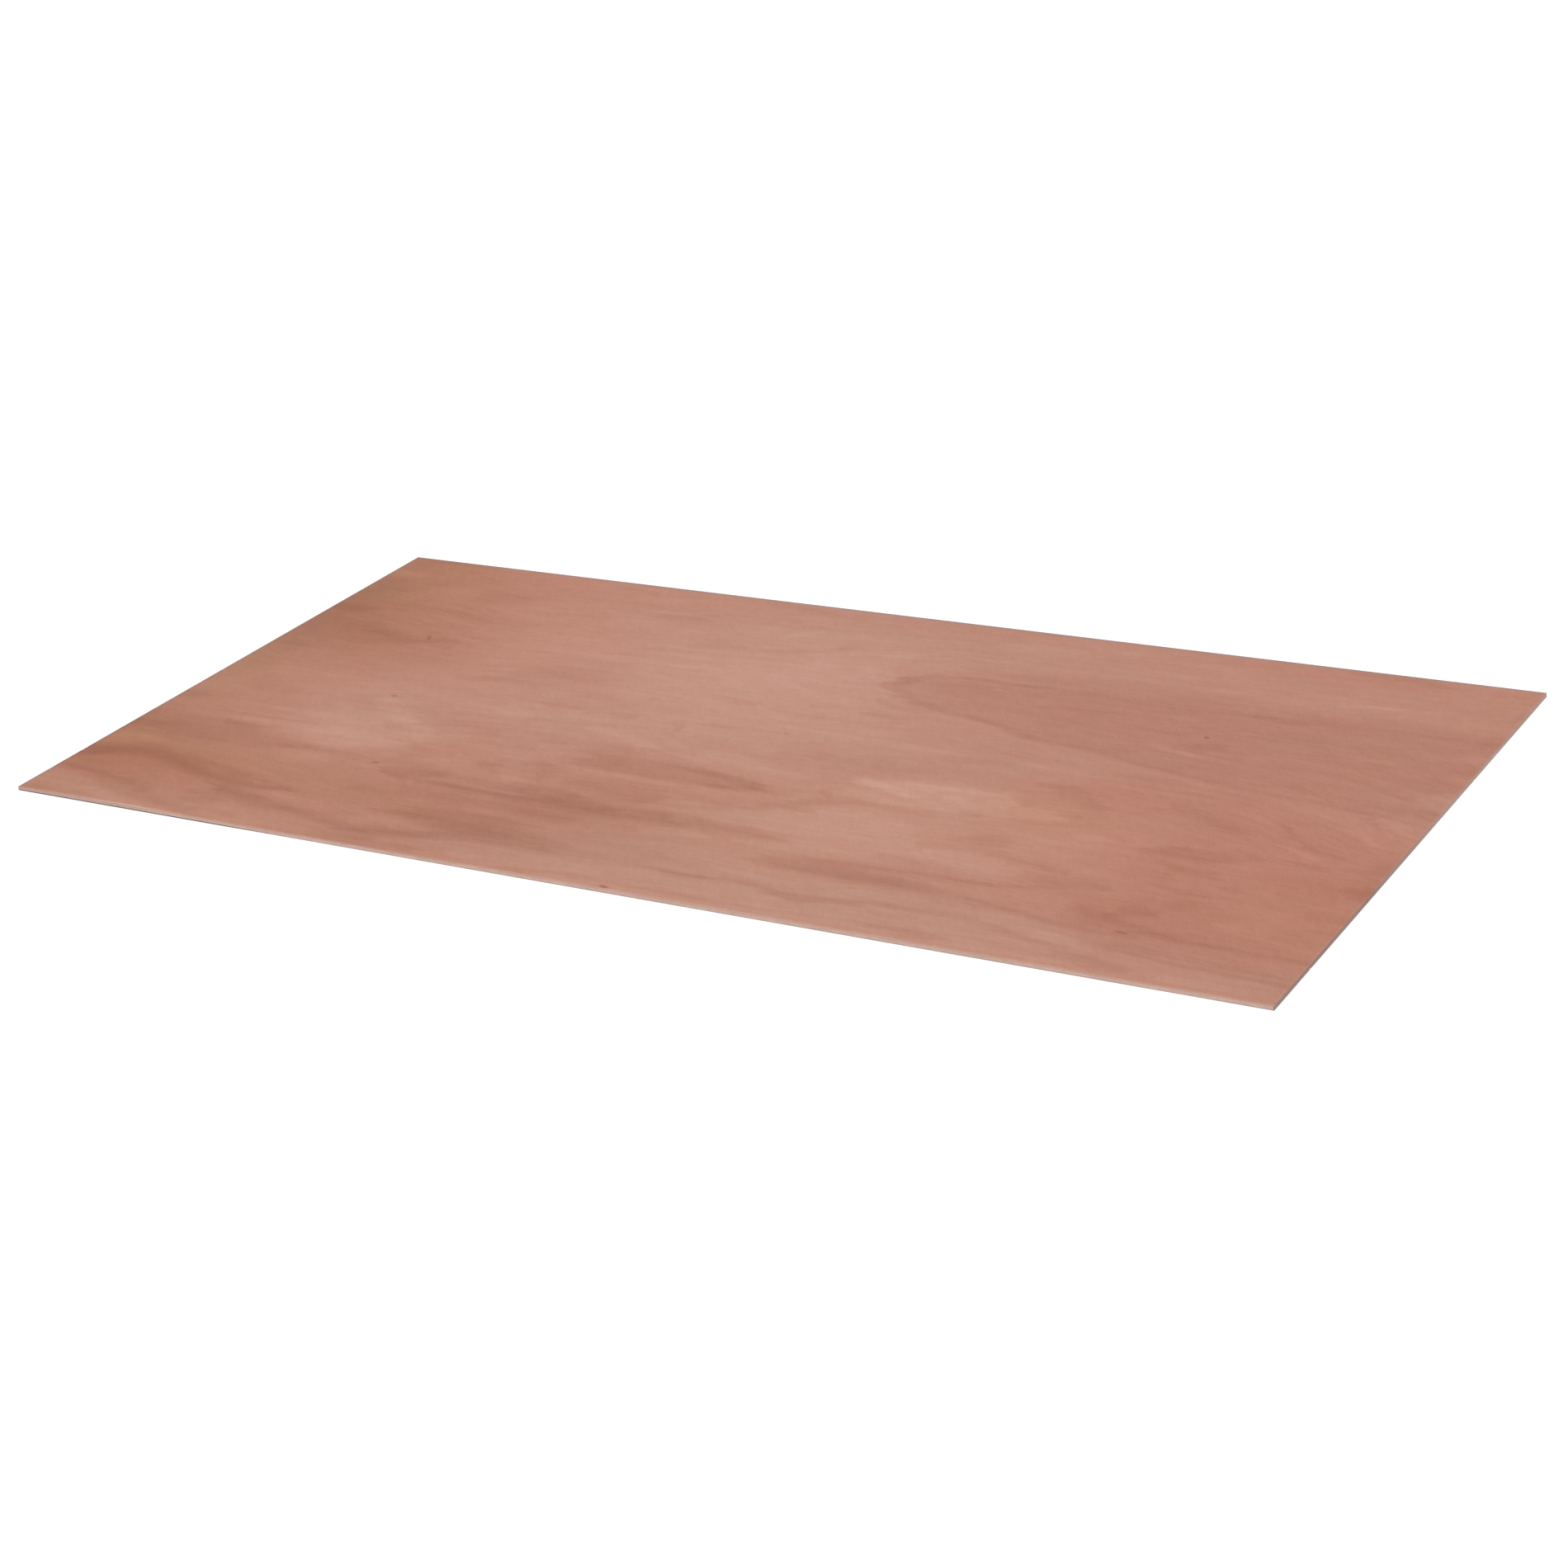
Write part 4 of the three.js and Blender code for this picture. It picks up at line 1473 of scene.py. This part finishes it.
def face_wood():
    """Sanded rotary-cut face veneer."""
    material, graph = new_material("Face wood")
    plan = graph.plan_mm()
    patches = patch_group()
    tone, flow = face_tone(graph, plan, patches)
    fibre = graph.plain_layer(flow, FIBRE)
    pores = graph.ramp(graph.plain_layer(flow, PORE), *PORE_NOISE)
    tone = graph.math("MULTIPLY_ADD", pores, PORE_TONE, tone)
    colour = tint(graph, plan, flow, patches, tone_colour(graph, tone, TONE_COLOURS))
    colour = tinted_and_highlit_rims(graph, plan, colour)
    roughness = graph.math("MULTIPLY_ADD", fibre, *FACE_ROUGHNESS)
    normal = relief(graph, ((0.03, fibre), (-0.02, graph.math("SUBTRACT", pores, 0.5))))
    finish_wood(graph, colour, roughness, normal)
    return material


def tint(graph, plan, flow, patches, colour):
    """Shifts the colour towards red in RED_PATCHES and towards blue in BLUE_PATCHES."""
    red, blue = 0.0, 0.0
    for patch in RED_PATCHES:
        red = add_patch(graph, patches, plan, patch, red)
    for patch in BLUE_PATCHES:
        blue = add_patch(graph, patches, plan, patch, blue)
    red = graph.layer(flow, RED_MOTTLE, red)
    blue = graph.layer(flow, BLUE_MOTTLE, blue)
    steps = zip((red, red, blue), COLOUR_STEPS)
    shift = graph.join(*[graph.math("MULTIPLY_ADD", amount, step, 1.0) for amount, step in steps])
    return graph.vector("MULTIPLY", colour, shift)


def arch_lines(graph, plan):
    """Thin lines, 0 to 1, along arches that widen round the heart of the underside's veneer."""
    shape = (1 / BACK_ARCH_STRETCH, 1.0, 0.0)
    from_heart = graph.vector("MULTIPLY", graph.vector("SUBTRACT", plan, BACK_HEART_MM), shape)
    reach = graph.layer(plan, BACK_ARCH_SPREAD, graph.vector("LENGTH", from_heart))
    reach = graph.layer(plan, BACK_ARCH_RAGGED, reach)
    place = graph.math("PINGPONG", reach, BACK_ARCH_PITCH)
    strength = graph.layer(plan, BACK_ARCH_STRENGTH, BACK_ARCH_MIDDLE)
    return graph.math("MULTIPLY", graph.ramp(place, BACK_ARCH_PITCH * BACK_ARCH_LINE, 0.0), strength)


def back_wood():
    """Browner veneer of the underside, with arched growth lines and a few knots."""
    material, graph = new_material("Back wood")
    plan = graph.plan_mm()
    patches, knots = patch_group(), knot_group()
    tone = graph.math("MULTIPLY", graph.plain_layer(plan, BACK_CLOUDS), BACK_CLOUDS.strength)
    tone = graph.math("MULTIPLY_ADD", arch_lines(graph, plan), BACK_ARCH_TONE, tone)
    for patch in BACK_PATCHES:
        tone = add_patch(graph, patches, plan, patch, tone)
    for knot in BACK_KNOTS:
        tone = add_knot(graph, knots, plan, knot, tone)
    for layer in GRAIN_LAYERS:
        own = layer._replace(
            strength=BACK_GRAIN_GAIN * layer.strength,
            seed=layer.seed + BACK_GRAIN_SEED,
            roughness=BACK_GRAIN_ROUGHNESS,
        )
        tone = graph.layer(plan, own, tone)
    fibre = graph.plain_layer(plan, BACK_FIBRE)
    roughness = graph.math("MULTIPLY_ADD", fibre, *BACK_ROUGHNESS)
    finish_wood(graph, tone_colour(graph, tone, BACK_COLOURS), roughness, relief(graph, ((0.05, fibre),)))
    return material


def painted_side_shade(graph, x, y):
    """Painted shade on the sawn sides: the level of their colour, which changes along each pair of sides."""
    at_end = graph.ramp(graph.math("ABSOLUTE", x), *SHORT_SIDES)
    long_side = graph.ramp(x, *LONG_SIDE_SHADE)
    short_side = graph.ramp(y, *SHORT_SIDE_SHADE, smooth=False)
    return graph.ramp(at_end, 0.0, 1.0, long_side, short_side, smooth=False)


def glue_lines(graph, z):
    """1 on the two glue lines, fading away from them."""
    glue = 0.0
    for glue_line in (CORE_LOW.z / MM, CORE_HIGH.z / MM):
        away = graph.math("ABSOLUTE", graph.math("SUBTRACT", z, glue_line))
        glue = graph.math("MAXIMUM", glue, graph.ramp(away, *GLUE_FADE))
    return glue


def cut_wood(name, colour, grain_axis):
    """Sawn wood whose fibres run along one axis: dots and dashes where they are cut across."""
    material, graph = new_material(name)
    plan = graph.plan_mm()
    fibre = graph.speckle(plan, FIBRE_CELLS[grain_axis], 3, 0.6)
    band = graph.speckle(plan, BAND_CELLS[grain_axis], 3, 0.55)
    saw = graph.speckle(plan, SAW_CELLS, 3, 0.6)
    stain = graph.speckle(plan, STAIN_CELLS, 2)
    level = 1.0
    for strength, marks in ((0.5, fibre), (0.45, band), (0.3, saw), (0.25, stain)):
        level = graph.math("MULTIPLY_ADD", marks, strength, level)
    x, y, z = graph.split(plan)
    # The wood's own marks, scaled by the painted side shade.
    wood = graph.vector("SCALE", tuple(colour), graph.math("MULTIPLY", level, painted_side_shade(graph, x, y)))
    wood = graph.mix(graph.math("MULTIPLY", glue_lines(graph, z), GLUE_STRENGTH), wood, rgba(GLUE_COLOUR))
    # Painted shade: a contact shadow along the foot of the sides at the left end.
    contact_shade = graph.math("MULTIPLY", graph.ramp(z, *PAINTED_CONTACT_SHADE_HEIGHT), graph.ramp(x, *PAINTED_CONTACT_SHADE_PLACE))
    wood = graph.mix(contact_shade, wood, rgba(PAINTED_CONTACT_SHADE_COLOUR))
    roughness = graph.math("MULTIPLY_ADD", saw, *SAWN_ROUGHNESS)
    finish_wood(graph, wood, roughness, relief(graph, ((0.1, saw), (0.06, fibre))))
    return material


# --------------------------------------------------------------------------------------------------------
# Modelling
# --------------------------------------------------------------------------------------------------------


SNUG = 1e-6  # how near two places count as one
UPRIGHT = 0.1 * MM  # least rise of an edge that stands upright
ARRIS_ZONE = 1.5 * MM  # every point of the chipped outline lies nearer the sides than this
SAW_MARK_SIZE = 3.5 * MM
SMOOTH_ANGLE = math.radians(35)  # corners that turn by less are shaded as curves


def select_only(elements, wanted):
    """Selects the wanted vertices, edges or faces of the active mesh and enters edit mode."""
    bpy.ops.object.mode_set(mode="EDIT")
    bpy.ops.mesh.select_all(action="DESELECT")
    bpy.ops.object.mode_set(mode="OBJECT")
    for element in elements:
        element.select = wanted(element)
    bpy.ops.object.mode_set(mode="EDIT")


def add_leaf(name, low, high, shape, inset):
    """A closed leaf with square cells on its broad faces and fine points along its sawn edges."""
    size = high - low
    points_per_cell = round(shape.cell / shape.saw_pitch)
    bpy.ops.object.select_all(action="DESELECT")
    bpy.ops.mesh.primitive_grid_add(
        x_subdivisions=round(size.x / shape.cell), y_subdivisions=round(size.y / shape.cell), size=1
    )
    leaf = bpy.context.object
    leaf.name = leaf.data.name = name
    bpy.ops.object.mode_set(mode="EDIT")
    bpy.ops.mesh.select_mode(type="FACE")
    bpy.ops.mesh.select_all(action="SELECT")
    bpy.ops.transform.resize(value=(size.x - 2 * inset, size.y - 2 * inset, 1), center_override=(0, 0, 0))
    bpy.ops.transform.translate(value=(0, 0, low.z))
    bpy.ops.mesh.region_to_loop()
    bpy.ops.mesh.subdivide(number_cuts=points_per_cell - 1, ngon=True)
    bpy.ops.mesh.select_all(action="SELECT")
    bpy.ops.mesh.extrude_region_move(TRANSFORM_OT_translate={"value": (0, 0, size.z)})
    bpy.ops.mesh.select_all(action="SELECT")
    bpy.ops.mesh.normals_make_consistent(inside=False)
    bpy.ops.object.mode_set(mode="OBJECT")
    return leaf


def cut_sides(leaf, rows):
    """Divides the sawn sides of a leaf into rows from bottom to top."""
    points = leaf.data.vertices

    def is_upright(edge):
        first, last = (points[index].co for index in edge.vertices)
        return abs(first.z - last.z) > UPRIGHT

    bpy.ops.object.mode_set(mode="EDIT")
    bpy.ops.mesh.select_mode(type="EDGE")
    select_only(leaf.data.edges, is_upright)
    bpy.ops.mesh.subdivide(number_cuts=rows - 1)
    bpy.ops.object.mode_set(mode="OBJECT")


def place_mm(point):
    """Where a vertex lies, to a tenth of a millimetre."""
    return [round(value / MM, 1) for value in point.co]


def side_points(leaf):
    """The numbers of the vertices on the long sides and on the short sides, before they are roughened.

    A cut numbers its points in an order that changes from run to run. So the points of the two rims come
    first, and then the points between the rims, sorted by place.
    """
    points = leaf.data.vertices
    low, high = min(point.co.z for point in points), max(point.co.z for point in points)
    reach_x = max(point.co.x for point in points) - SNUG
    reach_y = max(point.co.y for point in points) - SNUG
    rims = [point for point in points if point.co.z in (low, high)]
    cuts = sorted((point for point in points if low < point.co.z < high), key=place_mm)
    long_sides = [point.index for point in rims + cuts if abs(point.co.y) > reach_y]
    short_sides = [point.index for point in rims + cuts if abs(point.co.x) > reach_x]
    return long_sides, short_sides


def mark_sides(leaf, sides, shape):
    """The shallow marks of the saw, which line up from leaf to leaf."""
    marks = bpy.data.textures.new("Saw marks", "CLOUDS")
    marks.noise_scale = SAW_MARK_SIZE
    marks.noise_depth = 2
    for axis, side in zip("YX", sides):
        group = leaf.vertex_groups.new(name=f"side_{axis}")
        group.add(side, 1.0, "REPLACE")
        saw = leaf.modifiers.new("Saw", "DISPLACE")
        saw.texture = marks
        saw.texture_coords = "LOCAL"
        saw.direction = axis
        saw.vertex_group = group.name
        saw.mid_level = 0.5
        saw.strength = shape.saw_depth
        bpy.ops.object.modifier_apply(modifier=saw.name)
    leaf.vertex_groups.clear()
    bpy.data.textures.remove(marks)


def chip_side(leaf, side, axis, count, depth, width, seed):
    """Pulls a few points of one pair of sides inwards, as torn splinters."""
    random = Random(seed)
    points = leaf.data.vertices
    bpy.ops.object.mode_set(mode="EDIT")
    bpy.ops.mesh.select_mode(type="VERT")
    for spot in random.sample(side, count):
        pull = [0.0, 0.0, 0.0]
        pull[axis] = -math.copysign(random.uniform(0.25, 1.0) * depth, points[spot].co[axis])
        select_only(points, lambda point: point.index == spot)
        bpy.ops.transform.translate(
            value=pull,
            use_proportional_edit=True,
            proportional_edit_falloff="SHARP",
            proportional_size=random.uniform(0.5, 1.0) * width,
        )
    bpy.ops.object.mode_set(mode="OBJECT")


def ease_arris(leaf, level, width):
    """Rounds the outline of a leaf at one level, as sanding does."""
    points = leaf.data.vertices
    reach_x = max(point.co.x for point in points) - ARRIS_ZONE
    reach_y = max(point.co.y for point in points) - ARRIS_ZONE

    def on_arris(edge):
        ends = [points[index].co for index in edge.vertices]
        level_edge = all(abs(end.z - level) < SNUG for end in ends)
        return level_edge and all(abs(end.x) > reach_x or abs(end.y) > reach_y for end in ends)

    bpy.ops.object.mode_set(mode="EDIT")
    bpy.ops.mesh.select_mode(type="EDGE")
    select_only(leaf.data.edges, on_arris)
    bpy.ops.mesh.bevel(offset=width, segments=2, profile=0.5, affect="EDGES", clamp_overlap=True)
    bpy.ops.object.mode_set(mode="OBJECT")


def dress_leaf(leaf, broad, sides):
    """Gives the broad faces one material and the sawn sides another."""
    leaf.data.materials.append(broad)
    leaf.data.materials.append(sides)
    for face in leaf.data.polygons:
        face.material_index = 0 if abs(face.normal.z) > 0.5 else 1


def model_veneer(name, low, high, shape, seed, recess=0.0, rows=1):
    """One veneer of the sheet, sawn and chipped but with sharp corners."""
    leaf = add_leaf(name, low, high, shape, inset=shape.saw_depth / 2 + recess)
    if rows > 1:
        cut_sides(leaf, rows)
    long_sides, short_sides = side_points(leaf)
    mark_sides(leaf, (long_sides, short_sides), shape)
    chip_side(leaf, short_sides, 0, shape.chips_across, shape.chip_depth, shape.chip_width, seed)
    chip_side(leaf, long_sides, 1, shape.chips_along, shape.chip_depth / 2, shape.chip_width, seed + 1)
    return leaf


def finish_piece(piece, node):
    """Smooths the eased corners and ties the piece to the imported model."""
    bpy.ops.object.shade_smooth_by_angle(angle=SMOOTH_ANGLE)
    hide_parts(node)
    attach(piece, BODY)


def aim_at(thing, target, roll=0.0):
    """Turns a camera or lamp to look at a point."""
    look = (Vector(target) - thing.location).to_track_quat("-Z", "Y")
    thing.rotation_euler = (look @ Quaternion((0, 0, 1), roll)).to_euler()


# --------------------------------------------------------------------------------------------------------
# Operators
# --------------------------------------------------------------------------------------------------------


class PLYWOOD_OT_face(bpy.types.Operator):
    """Model the face veneer and give it its figure"""

    bl_idname = "plywood.face"
    bl_label = "Face Veneer"

    def execute(self, context):
        scene = context.scene
        colours = scene.plywood_colours
        piece = model_veneer("face_leaf", FACE_LOW, FACE_HIGH, scene.plywood_shape, seed=3)
        ease_arris(piece, FACE_HIGH.z, scene.plywood_shape.arris)
        dress_leaf(piece, face_wood(), cut_wood("Face edge", colours.face_edge, "X"))
        finish_piece(piece, FACE_NODE)
        return {"FINISHED"}


class PLYWOOD_OT_core(bpy.types.Operator):
    """Model the core veneer, whose grain crosses the sheet"""

    bl_idname = "plywood.core"
    bl_label = "Core Veneer"

    def execute(self, context):
        scene = context.scene
        shape = scene.plywood_shape
        recess = shape.core_recess
        piece = model_veneer("core_leaf", CORE_LOW, CORE_HIGH, shape, seed=17, recess=recess, rows=3)
        wood = cut_wood("Core wood", scene.plywood_colours.core, "Y")
        dress_leaf(piece, wood, wood)
        finish_piece(piece, CORE_NODE)
        return {"FINISHED"}


class PLYWOOD_OT_back(bpy.types.Operator):
    """Model the back veneer"""

    bl_idname = "plywood.back"
    bl_label = "Back Veneer"

    def execute(self, context):
        scene = context.scene
        colours = scene.plywood_colours
        piece = model_veneer("back_leaf", BACK_LOW, BACK_HIGH, scene.plywood_shape, seed=29)
        ease_arris(piece, BACK_LOW.z, scene.plywood_shape.arris)
        dress_leaf(piece, back_wood(), cut_wood("Back edge", colours.back_edge, "X"))
        finish_piece(piece, BACK_NODE)
        return {"FINISHED"}


class PLYWOOD_OT_stage(bpy.types.Operator):
    """Add the floor, the lights and the camera"""

    bl_idname = "plywood.stage"
    bl_label = "Stage"

    def execute(self, context):
        stage = context.scene.plywood_stage
        add_floor(stage.floor_glow)
        add_sky(context.scene, stage.sky)
        add_sun(context.scene, stage)
        add_camera(context.scene, stage)
        return {"FINISHED"}


FLOOR_SIZE = 40.0
FLOOR_COLOUR = (0.8, 0.8, 0.8, 1.0)
FLOOR_GAP = 0.02 * MM  # keeps the floor and the underside from sharing a plane
SENSOR_WIDTH = 36.0  # mm, as the camera's focal length is


def white_ray(graph):
    """1 for camera, glossy and transmission rays, which see the white background."""
    rays = graph.node("ShaderNodeLightPath").outputs
    seen = graph.math("MAXIMUM", rays["Is Camera Ray"], rays["Is Glossy Ray"])
    return graph.math("MAXIMUM", seen, rays["Is Transmission Ray"])


def add_floor(glow_level):
    bpy.ops.object.select_all(action="DESELECT")
    bpy.ops.mesh.primitive_plane_add(size=FLOOR_SIZE, location=(0, 0, -FLOOR_GAP))
    floor = bpy.context.object
    floor.name = "floor"
    material, graph = new_material("Floor white")
    diffuse = graph.node("ShaderNodeBsdfDiffuse", {"Color": FLOOR_COLOUR})
    strength = graph.math("MULTIPLY", white_ray(graph), glow_level)
    glow = graph.node("ShaderNodeEmission", {"Strength": strength})
    both = graph.node("ShaderNodeAddShader", {0: diffuse.outputs[0], 1: glow.outputs[0]})
    graph.node("ShaderNodeOutputMaterial", {"Surface": both.outputs[0]})
    floor.data.materials.append(material)


def add_sky(scene, strength):
    """Even light from all round, and white where the camera sees past the floor."""
    world = bpy.data.worlds.new("Studio")
    world.use_nodes = True
    scene.world = world
    graph = Graph(world.node_tree)
    level = graph.ramp(white_ray(graph), 0.0, 1.0, strength, 1.0, smooth=False)
    back = graph.node("ShaderNodeBackground", {"Color": (1, 1, 1, 1), "Strength": level})
    graph.node("ShaderNodeOutputWorld", {"Surface": back.outputs[0]})


def add_sun(scene, stage):
    lamp = bpy.data.lights.new("Sun", "SUN")
    lamp.energy = stage.sun
    lamp.angle = stage.sun_softness
    sun = bpy.data.objects.new("Sun", lamp)
    scene.collection.objects.link(sun)
    sun.location = stage.sun_bearing
    aim_at(sun, (0, 0, 0))


def add_camera(scene, stage):
    data = bpy.data.cameras.new("Camera")
    data.lens = stage.lens
    data.sensor_width = SENSOR_WIDTH
    data.shift_x = stage.shift
    camera = bpy.data.objects.new("Camera", data)
    scene.collection.objects.link(camera)
    flat, height = math.cos(stage.elevation), math.sin(stage.elevation)
    back = Vector((math.sin(stage.azimuth) * flat, -math.cos(stage.azimuth) * flat, height))
    camera.location = Vector(stage.aim) + back * stage.distance
    aim_at(camera, stage.aim, stage.roll)
    scene.camera = camera


class PLYWOOD_PT_panel(bpy.types.Panel):
    """Lists the steps that build the sheet"""

    bl_label = "Plywood Sheet"
    bl_space_type = "VIEW_3D"
    bl_region_type = "UI"
    bl_category = "Plywood"

    def draw(self, context):
        for operator in OPERATORS:
            self.layout.operator(operator.bl_idname)


OPERATORS = (PLYWOOD_OT_face, PLYWOOD_OT_core, PLYWOOD_OT_back, PLYWOOD_OT_stage)
CLASSES = (PlywoodShape, PlywoodColours, PlywoodStage, *OPERATORS, PLYWOOD_PT_panel)


def register():
    for cls in CLASSES:
        bpy.utils.register_class(cls)
    bpy.types.Scene.plywood_shape = bpy.props.PointerProperty(type=PlywoodShape)
    bpy.types.Scene.plywood_colours = bpy.props.PointerProperty(type=PlywoodColours)
    bpy.types.Scene.plywood_stage = bpy.props.PointerProperty(type=PlywoodStage)


def unregister():
    del bpy.types.Scene.plywood_stage
    del bpy.types.Scene.plywood_colours
    del bpy.types.Scene.plywood_shape
    for cls in reversed(CLASSES):
        bpy.utils.unregister_class(cls)


def main():
    register()
    bpy.context.scene.view_settings.view_transform = "Standard"
    bpy.ops.plywood.face()
    bpy.ops.plywood.core()
    bpy.ops.plywood.back()
    bpy.ops.plywood.stage()


if __name__ == "__main__":
    main()
